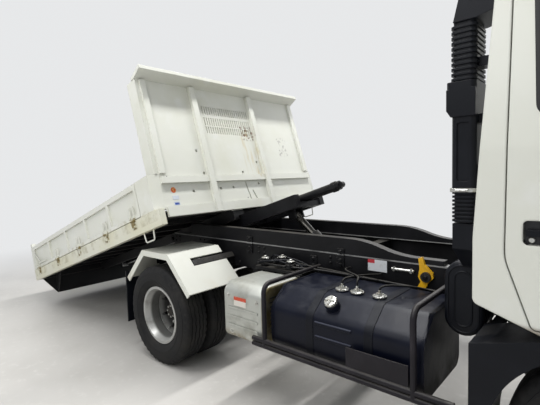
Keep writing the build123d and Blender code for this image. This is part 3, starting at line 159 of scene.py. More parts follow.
# %% Masks
class Masks:
    """A material's nodes and the arithmetic of masks in them."""

    def __init__(self, name):
        self.material = bpy.data.materials.new(name)
        self.material.use_nodes = True
        self.tree = self.material.node_tree
        self.place = self.add("TexCoord").outputs["Object"]

    def add(self, kind, **settings):
        """A new node of a kind."""
        made = self.tree.nodes.new("ShaderNode" + kind)
        for key, value in settings.items():
            setattr(made, key, value)
        return made

    def feed(self, target, value):
        """Links a node's output to a socket, or sets the socket to a value."""
        if isinstance(value, bpy.types.NodeSocket):
            self.tree.links.new(value, target)
        else:
            target.default_value = value

    def axes(self, place=None):
        """The three distances of a place, each on its own."""
        split = self.add("SeparateXYZ")
        self.feed(split.inputs[0], place or self.place)
        return split.outputs

    def bed_place(self):
        """Object coordinates turned into the bed's own: along it, across and square to it."""
        turned = self.add("Mapping", vector_type="POINT")
        shift = (-REAR_X * math.cos(BED_TILT), 0, REAR_X * math.sin(BED_TILT))
        turned.inputs["Rotation"].default_value = (0, BED_TILT, 0)
        turned.inputs["Location"].default_value = shift
        self.feed(turned.inputs["Vector"], self.place)
        return turned.outputs["Vector"]

    def work(self, operation, a, b=0.0):
        """One step of arithmetic."""
        worked = self.add("Math", operation=operation)
        self.feed(worked.inputs[0], a)
        self.feed(worked.inputs[1], b)
        return worked.outputs[0]

    def meet(self, mask, *others):
        """Where all of the masks hold."""
        for other in others:
            mask = self.work("MULTIPLY", mask, other)
        return mask

    def reach(self, a, middle_a, b, middle_b):
        """The distance from an axle that stands at two measures."""
        square_a = self.work("POWER", self.work("SUBTRACT", a, middle_a), 2.0)
        square_b = self.work("POWER", self.work("SUBTRACT", b, middle_b), 2.0)
        return self.work("SQRT", self.work("ADD", square_a, square_b))

    def rise(self, value, low, high, bottom=0.0, top=1.0):
        """Goes softly from bottom to top while the value goes from low to high."""
        ramp = self.add("MapRange", interpolation_type="SMOOTHSTEP")
        self.feed(ramp.inputs["Value"], value)
        for socket, number in zip(("From Min", "From Max", "To Min", "To Max"), (low, high, bottom, top)):
            self.feed(ramp.inputs[socket], number)
        return ramp.outputs["Result"]

    def fall(self, value, low, high):
        """Goes softly from 1 to 0 while the value goes from low to high."""
        return self.rise(value, low, high, 1, 0)

    def within(self, value, low, high, soft):
        """1 between two distances, fading out over a soft edge at each."""
        return self.meet(self.rise(value, low - soft, low), self.fall(value, high, high + soft))


print("steps for masks:", len([name for name in vars(Masks) if not name.startswith("_")]))

# %% [markdown]
# Paint, rubber and steel differ in a few values, but they are all built up alike: a base colour,
# patches of wear or dirt laid over it through masks, a roughness that follows the dirt, and fine
# relief. Each step below adds one of these, so that a finish reads as a short list.

# %% Layers of a finish
class Finish(Masks):
    """A material under construction: its shader and the layers that feed it."""

    def __init__(self, name, colour, rough, metal=0.0, **constants):
        super().__init__(name)
        self.shader = self.tree.nodes["Principled BSDF"]
        self.shader.inputs["Base Color"].default_value = (*colour, 1)
        self.shader.inputs["Roughness"].default_value = rough
        self.shader.inputs["Metallic"].default_value = metal
        for socket, value in constants.items():
            self.shader.inputs[socket.replace("_", " ")].default_value = value
        self.colour = (*colour, 1)
        self.rough = rough

    def grain(self, scale, detail=5.0, stretch=(1, 1, 1), place=None, rough=0.55):
        """Cloudy noise, stretched along an axis where its scale is small."""
        spread = self.add("Mapping", vector_type="POINT")
        spread.inputs["Scale"].default_value = stretch
        self.feed(spread.inputs["Vector"], place or self.place)
        cloud = self.add("TexNoise")
        self.feed(cloud.inputs["Vector"], spread.outputs["Vector"])
        for socket, number in (("Scale", scale), ("Detail", detail), ("Roughness", rough)):
            cloud.inputs[socket].default_value = number
        return cloud.outputs["Fac"]

    def clouds(self, scale, detail, low, high, bottom=0.0, top=1.0):
        """Cloudy patches: the noise, cut softly between two of its values."""
        return self.rise(self.grain(scale, detail), low, high, bottom, top)

    def specks(self, scale, size):
        """Round spots of a size, a few of them to a metre."""
        cells = self.add("TexVoronoi")
        cells.inputs["Scale"].default_value = scale
        self.feed(cells.inputs["Vector"], self.place)
        return self.fall(cells.outputs["Distance"], size * 0.6, size)

    def facing_up(self, low=0.35, high=0.9):
        """A mask of what faces up and gathers dust."""
        facing = self.add("NewGeometry").outputs["Normal"]
        return self.rise(self.axes(facing)["Z"], low, high)

    def worn_edges(self, radius):
        """A mask of the sharp edges, where hands, boots and straps rub."""
        soft = self.add("Bevel", samples=4)
        soft.inputs["Radius"].default_value = radius
        hard = self.add("NewGeometry")
        alike = self.add("VectorMath", operation="DOT_PRODUCT")
        self.feed(alike.inputs[0], soft.outputs["Normal"])
        self.feed(alike.inputs[1], hard.outputs["Normal"])
        bare = self.fall(alike.outputs["Value"], 0.65, 0.96)
        return self.meet(bare, self.clouds(35, 5, 0.40, 0.62))

    def lay(self, colour, *masks, rough=None):
        """Lays a colour over what is there, where all of the masks hold, and its roughness with it."""
        mask = self.meet(*masks)
        mix = self.add("Mix", data_type="RGBA")
        self.feed(mix.inputs["Factor"], mask)
        self.feed(mix.inputs["A"], self.colour)
        self.feed(mix.inputs["B"], (*colour, 1))
        self.colour = mix.outputs["Result"]
        if rough is not None:
            blend = self.add("Mix", data_type="FLOAT")
            self.feed(blend.inputs["Factor"], mask)
            self.feed(blend.inputs["A"], self.rough)
            self.feed(blend.inputs["B"], rough)
            self.rough = blend.outputs["Result"]

    def done(self, relief=None, depth=0.0005, edge=0.003):
        """Joins colour, roughness and relief to the shader. Edges are eased by a few millimetres."""
        self.feed(self.shader.inputs["Base Color"], self.colour)
        self.feed(self.shader.inputs["Roughness"], self.rough)
        eased = self.add("Bevel", samples=4)
        eased.inputs["Radius"].default_value = edge
        bump = self.add("Bump")
        bump.inputs["Distance"].default_value = depth
        self.feed(bump.inputs["Height"], relief or self.grain(90, 3))
        self.feed(bump.inputs["Normal"], eased.outputs["Normal"])
        self.feed(self.shader.inputs["Normal"], bump.outputs["Normal"])
        return self.material


print("steps for layers:", len([name for name in vars(Finish) if not name.startswith("_")]))

# %% [markdown]
# The floor is a wide pale disc, and it is no piece of the truck. It could be a plain plane, but
# then its edge would show. It is painted like smooth concrete near the truck, and turns into
# plain backdrop further out.

# %% Floor
FADE_FROM, FADE_TO = 2.5, 6.0
concrete = Finish("pale_floor", (0.52, 0.505, 0.475), 0.55)
concrete.lay((0.44, 0.425, 0.395), concrete.clouds(0.9, 6, 0.40, 0.72), rough=0.45)
concrete.lay((0.56, 0.545, 0.515), concrete.clouds(14, 4, 0.52, 0.8))
floor_finish = concrete.done(depth=0.0002, edge=0.0005)
oval = concrete.add("VectorMath", operation="MULTIPLY")
concrete.feed(oval.inputs[0], concrete.place)
oval.inputs[1].default_value = (0.72, 1.0, 1.0)
far = concrete.add("VectorMath", operation="LENGTH")
concrete.feed(far.inputs[0], oval.outputs["Vector"])
haze = concrete.add("Emission")
haze.inputs["Color"].default_value = (*BACKDROP, 1)
ground = concrete.add("MixShader")
concrete.feed(ground.inputs["Fac"], concrete.rise(far.outputs["Value"], FADE_FROM, FADE_TO))
concrete.feed(ground.inputs[1], concrete.shader.outputs[0])
concrete.feed(ground.inputs[2], haze.outputs[0])
concrete.feed(concrete.tree.nodes["Material Output"].inputs["Surface"], ground.outputs[0])

disc = bmesh.new()
bmesh.ops.create_circle(disc, cap_ends=True, segments=96, radius=40)
floor = in_scene("floor", bpy.data.meshes.new("floor"))
disc.to_mesh(floor.data)
disc.free()
floor.data.materials.append(floor_finish)
print("floor laid, fading from", FADE_FROM, "to", FADE_TO)

# %% [markdown]
# ## Paint on the bed, fenders and cab
# The bodywork is off-white paint, a little warm. Every face that looks up is darkened, partly by dust and
# partly as painted shade that tones down the bright lamp overhead. One function mixes it for the bed, the
# fenders and the cab, which differ in gloss and in that darkening. One even colour would look like plastic,
# so faint clouds of dirt lie over it.

# %% White paint
PAINT = (0.70, 0.705, 0.635)
GRIME = (0.36, 0.33, 0.20)
TOP_DUST_AND_SHADE = (0.33, 0.325, 0.295)
RUST = (0.13, 0.055, 0.018)
BLACK_MARK = (0.03, 0.03, 0.03)
UNDER_BLACK = (0.012, 0.012, 0.013)


def white_paint(name, rough, coat, cloudy, dust):
    """Off-white enamel with faint clouds of dirt, and a darker colour on what faces up, partly dust and
    partly painted shade.
    """
    paint = Finish(name, PAINT, rough, Coat_Weight=coat, Coat_Roughness=0.12)
    paint.lay((0.64, 0.64, 0.54), paint.clouds(1.7, 6, 0.45, 0.75, 0, cloudy))
    paint.lay((0.74, 0.745, 0.70), paint.clouds(6, 4, 0.5, 0.8, 0, 0.7))
    # Faces that look up get a darker colour: partly dust, partly painted shade against the strong lamp
    # overhead.
    dust_and_shade_clouds = paint.clouds(2.5, 6, 0.25, 0.60, 0.80 * dust, dust)
    paint.lay(TOP_DUST_AND_SHADE, paint.facing_up(0.30, 0.70), dust_and_shade_clouds, rough=0.6)
    return paint


print("white paint is", PAINT, "and its dust", TOP_DUST_AND_SHADE)

# %% [markdown]
# The bed is rubbed and stained: the sills and hinges have yellowed, rust runs from the vents, and
# there are black marks round the holes. An image could be painted for this. Masks in the bed's
# own axes need none, and a stain stays where it was measured.

# %% Stains on the bed
HINGES = (-2.290, -1.660, -1.050, -0.410, 0.110)
HINGE_HALF = 0.035
bed = white_paint("bed_white", 0.38, 0.15, 0.8, 0.95)
bed_place = bed.bed_place()
along, across, square = bed.axes(bed_place)
wide = bed.work("ABSOLUTE", across)
sills = bed.meet(bed.within(square, 1.05, 1.19, 0.01), bed.rise(wide, 1.03, 1.04))
bed.lay((0.64, 0.62, 0.46), sills, bed.clouds(3, 5, 0.30, 0.7, 0.4, 1))
hinge_line = bed.meet(bed.rise(wide, 1.084, 1.09), bed.within(square, 1.11, 1.22, 0.01))
bed.lay(GRIME, hinge_line, bed.clouds(9, 5, 0.48, 0.68, 0, 0.6), rough=0.6)
for hinge_u in HINGES:
    hinge = bed.within(along, hinge_u - HINGE_HALF, hinge_u + HINGE_HALF, 0.02)
    hinge = bed.meet(hinge, bed.within(square, 1.12, 1.20, 0.015), bed.rise(wide, 1.084, 1.088))
    bed.lay((0.20, 0.15, 0.05), hinge, bed.clouds(34, 5, 0.42, 0.60), rough=0.75)

vents = bed.meet(bed.within(across, 0.08, 0.22, 0.03), bed.within(square, 1.84, 1.97, 0.03))
bed.lay(RUST, vents, bed.clouds(38, 4, 0.50, 0.62), rough=0.8)
under_vents = bed.meet(bed.within(across, 0.05, 0.24, 0.04), bed.within(square, 1.45, 1.90, 0.05))
streaks = bed.grain(7, 5, stretch=(1, 5, 0.6), place=bed_place)
bed.lay((0.58, 0.50, 0.30), under_vents, bed.rise(streaks, 0.45, 0.7, 0, 0.7))
front_face = bed.rise(along, 0.47, 0.478)
low_panel = bed.meet(front_face, bed.within(square, 1.19, 1.50, 0.05))
bed.lay(BLACK_MARK, low_panel, bed.specks(7, 0.055), rough=0.7)
scrape = bed.meet(bed.within(across, 0.60, 0.73, 0.03), bed.within(square, 1.68, 1.86, 0.03), front_face)
bed.lay((0.45, 0.44, 0.40), scrape, bed.clouds(30, 4, 0.52, 0.6), rough=0.6)
print("marks at", len(HINGES), "hinges on each side")

# %% [markdown]
# Loads have scratched the floor to a dull grey along its length, and the underside is black. Both
# are the same solid as the white sills, so masks by height and width part the colours.

# %% Load floor and underside
between_sills = bed.fall(wide, 1.035, 1.039)
behind_headboard = bed.fall(along, 0.430, 0.438)
load_floor = bed.meet(bed.within(square, 1.176, 1.196, 0.004), bed.fall(wide, 1.03, 1.04), behind_headboard)
bed.lay((0.27, 0.26, 0.235), load_floor, bed.clouds(1.3, 9, 0.25, 0.55, 0.55, 1), rough=0.5)
scratches = bed.grain(45, 6, stretch=(0.06, 1.6, 1), place=bed_place, rough=0.6)
bed.lay((0.40, 0.39, 0.36), load_floor, bed.rise(scratches, 0.45, 0.75, 0, 0.7), rough=0.40)
bed.lay((0.15, 0.10, 0.065), load_floor, bed.clouds(2.6, 10, 0.50, 0.72, 0, 0.65), rough=0.75)

underside = bed.meet(bed.fall(square, 1.1745, 1.176), between_sills, bed.rise(along, -2.4710, -2.4695))
underside = bed.meet(underside, behind_headboard)
beam_ends = bed.meet(bed.fall(square, 1.115, 1.117), between_sills, bed.rise(along, 0.40, 0.41))
bed.lay(UNDER_BLACK, bed.work("MAXIMUM", underside, beam_ends), rough=0.5)
bed.lay((0.33, 0.30, 0.25), bed.worn_edges(0.006), rough=0.6)
bed_white = bed.done(depth=0.0004, edge=0.004)
print("bed paint has", len(bed.tree.nodes), "nodes")

# %% [markdown]
# The rear fenders are splashed with dirt along their lower edge, and their inner sides, which
# face the frame, are black. The height and the distance from the truck's middle tell these places
# apart, with no need for a second material.

# %% Fender paint
fender = white_paint("fender_white", 0.34, 0.2, 0.6, 0.30)
fender_axes = fender.axes()
splashed = fender.fall(fender_axes["Z"], 0.64, 0.75)
fender.lay((0.56, 0.54, 0.46), splashed, fender.clouds(8, 5, 0.45, 0.70), rough=0.6)
inner_side = fender.fall(fender.work("ABSOLUTE", fender_axes["Y"]), 0.5385, 0.5395)
fender.lay(UNDER_BLACK, inner_side, rough=0.5)
fender_white = fender.done(depth=0.0003, edge=0.005)
print("fender paint has", len(fender.tree.nodes), "nodes")

# %% [markdown]
# The cab's paint carries on over the inside of its walls in one solid, so the finish changes to
# grey moulded trim where the surface lies inside the skin. The walls lean in above the waist, and
# the mask leans with them. Faces could be picked by hand, but a mask still fits after a new pack.

# %% Cab paint and trim
BELT_Z = 1.60
TAIL_BELT_Z = 1.24
SIDE_LEAN = 0.0698
REAR_LEAN = 0.0661
SCREEN_LEAN = 0.3506
cab = white_paint("cab_white", 0.34, 0.15, 0.35, 1.0)
cab_x, cab_y, cab_z = cab.axes()
over_belt = cab.work("MAXIMUM", cab.work("SUBTRACT", cab_z, BELT_Z))
over_tail = cab.work("MAXIMUM", cab.work("SUBTRACT", cab_z, TAIL_BELT_Z))
side_at = cab.work("ADD", cab.work("ABSOLUTE", cab_y), cab.work("MULTIPLY", over_belt, SIDE_LEAN))
rear_at = cab.work("SUBTRACT", cab_x, cab.work("MULTIPLY", over_tail, REAR_LEAN))
front_at = cab.work("ADD", cab_x, cab.work("MULTIPLY", over_belt, SCREEN_LEAN))
inside = cab.meet(
    cab.fall(side_at, 1.010, 1.013),
    cab.rise(rear_at, REAR_X + 2.385, REAR_X + 2.388),
    cab.fall(front_at, REAR_X + 3.843, REAR_X + 3.848),
    cab.within(cab_z, 0.99, 2.403, 0.002))
cab.lay((0.11, 0.11, 0.105), inside, rough=0.75)
beneath = cab.fall(cab_z, 0.895, 0.925)
cab.lay((0.30, 0.27, 0.22), beneath, cab.clouds(7, 5, 0.35, 0.6), rough=0.6)
handle_pocket = cab.meet(
    cab.within(cab_x, REAR_X + 2.5355, REAR_X + 2.7345, 0.0005),
    cab.within(cab_z, 1.2285, 1.3215, 0.0005),
    cab.fall(side_at, 1.0435, 1.0445))
cab.lay((0.012, 0.012, 0.014), handle_pocket, rough=0.5)
cab_white = cab.done(depth=0.0002, edge=0.012)
print("cab paint has", len(cab.tree.nodes), "nodes")

# %% [markdown]
# ## Black frame, rubber and metals
# The frame is black chassis paint: half gloss, with dust on top and worn to grey on its edges. The bed
# slides along the rails' top, and a light band is painted there as a highlight, where the flange's rounded
# corner catches the light. One function mixes all of the dark paints, because they age in the same way.

# %% Black chassis paint
RAIL_TOP = 0.960
CHASSIS_BLACK = (0.0060, 0.0060, 0.0070)


def chassis_paint(name, colour, rough, dust, painted_highlight=None):
    """Dark paint with dust on top and greyed edges, and a painted highlight along a band of heights if one
    is given.
    """
    paint = Finish(name, colour, rough, Specular_IOR_Level=0.18)
    paint.lay(tuple(c * 1.9 + 0.002 for c in colour), paint.clouds(4, 6, 0.42, 0.75, 0, 0.8))
    paint.lay((0.13, 0.12, 0.10), paint.facing_up(), paint.clouds(9, 6, 0.35, 0.7, 0.15, dust), rough=0.75)
    paint.lay((0.09, 0.09, 0.09), paint.worn_edges(0.004), rough=0.45)
    # A painted highlight on the rails: a light band along the top flange, where its rounded corner catches
    # the light.
    if painted_highlight:
        highlight_band = paint.within(paint.axes()["Z"], *painted_highlight, 0.0015)
        paint.lay((0.24, 0.24, 0.235), highlight_band, paint.clouds(5, 5, 0.30, 0.50, 0.35, 1), rough=0.38)
    return paint.done(depth=0.0006, edge=0.003)


frame_black = chassis_paint("frame_black", CHASSIS_BLACK, 0.40, 0.35)
rail_black = chassis_paint("rail_black", CHASSIS_BLACK, 0.40, 0.35, (RAIL_TOP - 0.008, RAIL_TOP + 0.001))
guard_black = chassis_paint("guard_black", (0.014, 0.0125, 0.0155), 0.36, 0.3)
engine_iron = chassis_paint("engine_iron", (0.045, 0.045, 0.043), 0.60, 0.7)
cylinder_black = chassis_paint("cylinder_black", (0.008, 0.008, 0.009), 0.28, 0.25)
print("chassis paints mixed, rubbed at", RAIL_TOP)

# %% [markdown]
# Tyres, moulded guards and window seals are all black, and the eye tells them apart by their
# gloss and grain. Rubber is dull with grey dust in patches, and moulded plastic has a fine
# leathery grain. Both come from noise of a different size.

# %% Rubber and moulded plastic
rubber = Finish("tyre_rubber", (0.011, 0.011, 0.0115), 0.70, Specular_IOR_Level=0.25)
rubber.lay((0.030, 0.028, 0.025), rubber.clouds(5, 6, 0.42, 0.75), rough=0.85)
rubber.lay((0.020, 0.0195, 0.019), rubber.clouds(40, 3, 0.5, 0.7), rough=0.8)
tyre_rubber = rubber.done(relief=rubber.grain(160, 3), depth=0.0007, edge=0.001)

trim = Finish("moulded_black", (0.0050, 0.0058, 0.0085), 0.38, Specular_IOR_Level=0.18)
trim.lay((0.0085, 0.0095, 0.0135), trim.clouds(3, 6, 0.42, 0.75), rough=0.48)
trim.lay((0.050, 0.048, 0.044), trim.facing_up(), trim.clouds(12, 6, 0.4, 0.7, 0.05, 0.35), rough=0.8)
moulded_black = trim.done(relief=trim.grain(420, 2), depth=0.00025, edge=0.004)

seal = Finish("seal_rubber", (0.010, 0.010, 0.011), 0.6)
seal.lay((0.030, 0.029, 0.027), seal.clouds(14, 5, 0.45, 0.75), rough=0.75)
seal_rubber = seal.done(depth=0.0002, edge=0.001)
print("black finishes:", tyre_rubber.name, moulded_black.name, seal_rubber.name)

# %% [markdown]
# Wheels are steel, sprayed silver. The outer ring of the rim stays light, while the dished disc and
# the hub are darker with brake dust. The finish reads the distance to the axle, so the rings of
# dirt turn with the wheel and need no picture.

# %% Silver wheel paint
FRONT_AXLE_X = 2.860
AXLE_Z = 0.4025


def wheel_silver(name, axle_x):
    """Silver paint that darkens from the rim's ring to the hub."""
    paint = Finish(name, (0.46, 0.46, 0.44), 0.42, metal=0.55)
    wheel_axes = paint.axes()
    reach = paint.reach(wheel_axes["X"], REAR_X + axle_x, wheel_axes["Z"], AXLE_Z)
    paint.lay((0.20, 0.20, 0.19), paint.fall(reach, 0.192, 0.200), rough=0.55)
    paint.lay((0.045, 0.044, 0.042), paint.fall(reach, 0.168, 0.186), rough=0.6)
    paint.lay((0.022, 0.021, 0.020), paint.fall(reach, 0.085, 0.10), rough=0.6)
    paint.lay((0.12, 0.105, 0.085), paint.clouds(12, 6, 0.46, 0.75, 0, 0.5), rough=0.75)
    paint.lay(RUST, paint.clouds(26, 5, 0.62, 0.72), paint.rise(reach, 0.215, 0.235), rough=0.85)
    return paint.done(relief=paint.grain(60, 4), depth=0.0004, edge=0.002)


rear_silver = wheel_silver("rear_wheel_silver", 0.0)
front_silver = wheel_silver("front_wheel_silver", FRONT_AXLE_X)
print("wheel paints:", rear_silver.name, front_silver.name)

# %% [markdown]
# The fuel tank is deep blue-black, smooth and half gloss, with two straps round it. The box
# between tank and fender has a cover of dull plated sheet, which heat has browned in front.
# The straps' colour, and the painted highlight on the upper edge of each pressed rib, are bands of a
# distance, because both run straight.

# %% Tank and cover
STRAPS = (1.490, 1.860)
STRAP_HALF = 0.0245
RIBS = (0.600, 0.680)
tank = Finish("tank_navy", (0.0026, 0.0036, 0.0095), 0.34, Specular_IOR_Level=0.18)
tank.lay((0.0050, 0.0066, 0.0150), tank.clouds(3, 6, 0.40, 0.72), rough=0.42)
tank_axes = tank.axes()
for strap_x in STRAPS:
    strap_at = REAR_X + strap_x
    strap = tank.within(tank_axes["X"], strap_at - STRAP_HALF, strap_at + STRAP_HALF, 0.0008)
    tank.lay((0.0040, 0.0048, 0.0085), strap, rough=0.46)
for rib_z in RIBS:
    # A painted highlight: a light band just above each rib, where its upper edge catches the light.
    rib_highlight = tank.within(tank_axes["Z"], rib_z + 0.005, rib_z + 0.009, 0.001)
    length = tank.within(tank_axes["X"], REAR_X + 1.53, REAR_X + 1.76, 0.001)
    tank.lay((0.055, 0.060, 0.085), rib_highlight, length, rough=0.4)
tank.lay((0.040, 0.042, 0.050), tank.facing_up(), tank.clouds(11, 6, 0.40, 0.75, 0.0, 0.4), rough=0.65)
splashed = tank.fall(tank_axes["Z"], 0.43, 0.58)
tank.lay((0.020, 0.018, 0.016), splashed, tank.clouds(8, 6, 0.35, 0.65), rough=0.6)
tank_navy = tank.done(relief=tank.grain(8, 2), depth=0.002, edge=0.004)

cover = Finish("plated_cover", (0.50, 0.51, 0.47), 0.40, metal=0.65)
cover.lay((0.36, 0.36, 0.32), cover.clouds(7, 7, 0.42, 0.68), rough=0.55)
cover_axes = cover.axes()
splashed = cover.fall(cover_axes["Z"], 0.42, 0.50)
cover.lay((0.25, 0.20, 0.11), splashed, cover.clouds(12, 5, 0.38, 0.6), rough=0.7)
heated = cover.rise(cover_axes["X"], REAR_X + 1.118, REAR_X + 1.126)
cover.lay((0.19, 0.155, 0.070), heated, cover.clouds(10, 5, 0.2, 0.6, 0.5, 1), rough=0.6)
plated_cover = cover.done(relief=cover.grain(30, 4), depth=0.0008, edge=0.004)
print("tank and cover mixed, straps at", STRAPS)

# %% [markdown]
# Nuts are zinc plated, the slide's rod is polished and the hoist's rod is black with oil. The lock
# is yellow with chipped edges. Each is one base colour with a patch or two of dirt: for parts so
# small more would not be seen.

# %% Bright metals and the lock's yellow
LOCK_HUB = (1.953, 0.888)
zinc = Finish("zinc_plate", (0.58, 0.58, 0.55), 0.32, metal=0.9)
zinc.lay((0.30, 0.28, 0.23), zinc.clouds(60, 5, 0.45, 0.7), rough=0.55)
zinc_plate = zinc.done(depth=0.0002, edge=0.0008)

rod_steel = Finish("polished_rod", (0.62, 0.62, 0.62), 0.14, metal=1.0)
rod_steel.lay((0.45, 0.43, 0.38), rod_steel.clouds(8, 6, 0.5, 0.75, 0, 0.8), rough=0.30)
polished_rod = rod_steel.done(relief=rod_steel.grain(300, 2), depth=0.00008, edge=0.001)

oily = Finish("oily_rod", (0.10, 0.095, 0.085), 0.24, metal=1.0)
oily.lay((0.020, 0.018, 0.015), oily.clouds(12, 6, 0.40, 0.62), rough=0.40)
oily_rod = oily.done(depth=0.0001, edge=0.001)

yellow = Finish("lock_yellow", (0.80, 0.44, 0.008), 0.38)
yellow.lay((0.62, 0.33, 0.01), yellow.clouds(14, 5, 0.45, 0.7), rough=0.5)
yellow.lay((0.035, 0.030, 0.025), yellow.worn_edges(0.006), yellow.clouds(55, 3, 0.45, 0.55), rough=0.7)
lock_axes = yellow.axes()
hub_reach = yellow.reach(lock_axes["X"], REAR_X + LOCK_HUB[0], lock_axes["Z"], LOCK_HUB[1])
yellow.lay((0.012, 0.012, 0.012), yellow.fall(hub_reach, 0.0302, 0.0312), rough=0.45)
lock_yellow = yellow.done(depth=0.0004, edge=0.002)
print("metals:", zinc_plate.name, polished_rod.name, oily_rod.name, lock_yellow.name)

# %% [markdown]
# Window glass is faintly green and clear. Lamps are moulded lenses: clear in front, and behind a red,
# an amber and a clear field side by side, fluted inside. A real lens has a bulb and a bowl behind
# it. Here rings of light and dark in the lens stand for the bowl, since nobody looks in from near.

# %% Glass and lenses
pane = Finish("window_glass", (0.72, 0.80, 0.76), 0.02, Transmission_Weight=1.0, IOR=1.45)
pane.lay((0.62, 0.70, 0.66), pane.clouds(2, 4, 0.45, 0.8))
pane.rough = pane.work("ADD", pane.clouds(5, 6, 0.5, 0.85, 0.0, 0.10), 0.015)
window_glass = pane.done(depth=0.00005, edge=0.001)

lens = Finish("lamp_lens", (0.66, 0.68, 0.70), 0.12, Coat_Weight=0.6, Coat_Roughness=0.05)
lens_x, lens_y, lens_z = lens.axes()
lens_wide = lens.work("ABSOLUTE", lens_y)
behind = lens.fall(lens_x, REAR_X, REAR_X + 0.01)
ahead = lens.rise(lens_x, REAR_X, REAR_X + 0.01)
lens.lay((0.45, 0.006, 0.006), behind, lens.within(lens_wide, 0.56, 0.66, 0.0005), rough=0.15)
lens.lay((0.75, 0.20, 0.01), behind, lens.within(lens_wide, 0.764, 0.87, 0.0005), rough=0.15)
lens.lay((0.09, 0.09, 0.10), ahead, rough=0.25)
for bowl_y in (0.772, 0.888):
    bowl = lens.reach(lens_wide, bowl_y, lens_z, 0.675)
    lens.lay((0.72, 0.74, 0.76), ahead, lens.within(bowl, 0.014, 0.050, 0.002), rough=0.08)
    lens.lay((0.30, 0.31, 0.33), ahead, lens.within(bowl, 0.028, 0.032, 0.002), rough=0.08)
flutes = lens.add("TexWave", bands_direction="Y")
flutes.inputs["Scale"].default_value = 28
lens.feed(flutes.inputs["Vector"], lens.place)
lamp_lens = lens.done(relief=flutes.outputs["Fac"], depth=0.0015, edge=0.004)

mirror = Finish("mirror_glass", (0.80, 0.82, 0.82), 0.03, metal=1.0)
mirror.lay((0.70, 0.71, 0.70), mirror.clouds(9, 5, 0.5, 0.8, 0, 0.6), rough=0.10)
mirror_glass = mirror.done(depth=0.00003, edge=0.001)
print("glass mixed:", window_glass.name, lamp_lens.name, mirror_glass.name)

# %% [markdown]
# Now each solid gets its finish. The table lists the solids by finish, and the print shows those
# that are left, which later cells stand in for.

# %% Dress the solids
finishes = [
    (bed_white, ["bed_floor", "headboard", "gate_right", "gate_left", "tailgate"]),
    (fender_white, ["rear_fenders"]),
    (cab_white, ["cab_shell", "front_panel", "door_right", "door_left"]),
    (rail_black, ["frame_rail_right", "frame_rail_left"]),
    (frame_black, ["subframe_right", "subframe_left", "crossmembers", "front_axle", "rear_axle",
                   "leaf_springs", "valve_tray", "battery_box", "fender_stays", "underrun_bar",
                   "tow_eyes", "tilt_frame", "knuckle_right", "knuckle_left"]),
    (cylinder_black, ["slide_barrel", "hoist_barrel"]),
    (guard_black, ["side_guards"]),
    (engine_iron, ["powertrain"]),
    (moulded_black, ["air_cleaner", "snorkel", "mudguards", "dashboard", "steering_wheel", "mirrors",
                     "door_handle_right", "door_handle_left", "bumper"]),
    (tank_navy, ["fuel_tank"]),
    (plated_cover, ["exhaust_box"]),
    (polished_rod, ["slide_rod"]),
    (oily_rod, ["hoist_rod"]),
    (rear_silver, ["rear_rims_right", "rear_rims_left"]),
    (front_silver, ["front_rim_right", "front_rim_left"]),
    (tyre_rubber, ["front_tyre_right", "front_tyre_left", "rear_tyres_right", "rear_tyres_left"]),
    (window_glass, ["cab_glass", "door_glass_right", "door_glass_left"]),
    (lamp_lens, ["lamps"]),
    (lock_yellow, ["bed_lock"]),
]
dressed = set()
for finish, names in finishes:
    for name in names:
        materials = nodes[name].data.materials
        for index in range(len(materials)):
            materials[index] = finish
        dressed.add(name)
print("left for later:", sorted(set(nodes) - dressed))

# %% [markdown]
# ## Tools for small pieces
# Nuts, caps and rings are turned about an axis; straps and labels are thin plates. Each helper
# returns points and faces, so that many like things are gathered into one mesh. Objects for each
# nut would look the same, but they are slow to load and hard to pick.

# %% Shapes that many pieces share
def turns(count, start=0.0):
    """Equal angles round a circle."""
    return [math.tau * (turn + start) / count for turn in range(count)]


def spoke(angle, first=AHEAD, second=ACROSS):
    """The direction at an angle between two others."""
    return math.cos(angle) * first + math.sin(angle) * second


def skin(rings, count, closed):
    """Faces between rings of points. The last ring meets the first, or both ends get a lid."""
    faces = []
    for ring in range(rings if closed else rings - 1):
        here, there = ring * count, (ring + 1) % rings * count
        for i in range(count):
            j = (i + 1) % count
            faces.append((here + i, here + j, there + j, there + i))
    if not closed:
        last = (rings - 1) * count
        faces += [tuple(reversed(range(count))), tuple(range(last, last + count))]
    return faces


def turned(profile, base, out, count=24, twist=0.0):
    """Rings about an axis. The profile lists distances along the axis and radii."""
    out = Vector(out).normalized()
    side = out.orthogonal().normalized()
    other = out.cross(side)
    points = []
    for distance, radius in profile:
        for angle in turns(count):
            points.append(Vector(base) + out * distance + radius * spoke(angle + twist, side, other))
    return points, skin(len(profile), count, False)


def block(centre, size, edge, axes=(AHEAD, ACROSS, UP)):
    """A brick with eased edges. axes are its three directions."""
    brick = bmesh.new()
    bmesh.ops.create_cube(brick, size=1)
    for corner in brick.verts:
        corner.co = Vector(corner.co[i] * size[i] for i in range(3))
    bmesh.ops.bevel(brick, geom=list(brick.edges), offset=edge, segments=2, affect="EDGES")
    x, y, z = axes
    brick.verts.index_update()
    points = [Vector(centre) + v.co.x * x + v.co.y * y + v.co.z * z for v in brick.verts]
    faces = [tuple(v.index for v in face.verts) for face in brick.faces]
    brick.free()
    return points, faces


def gathered(shapes):
    """Many shapes as one."""
    points, faces = [], []
    for shape_points, shape_faces in shapes:
        start = len(points)
        points.extend(shape_points)
        faces.extend(tuple(start + i for i in face) for face in shape_faces)
    return points, faces


def fitted(name, shapes, finish, body="chassis", sharp=35):
    """Makes shapes one piece of the truck, riding on a body."""
    points, faces = gathered(shapes)
    mesh = bpy.data.meshes.new(name)
    mesh.from_pydata([tuple(p) for p in points], [], faces)
    mesh.validate()
    mesh.shade_smooth()
    mesh.set_sharp_from_angle(angle=math.radians(sharp))
    mesh.materials.append(finish)
    piece = in_scene(name, mesh)
    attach(piece, body)
    return piece


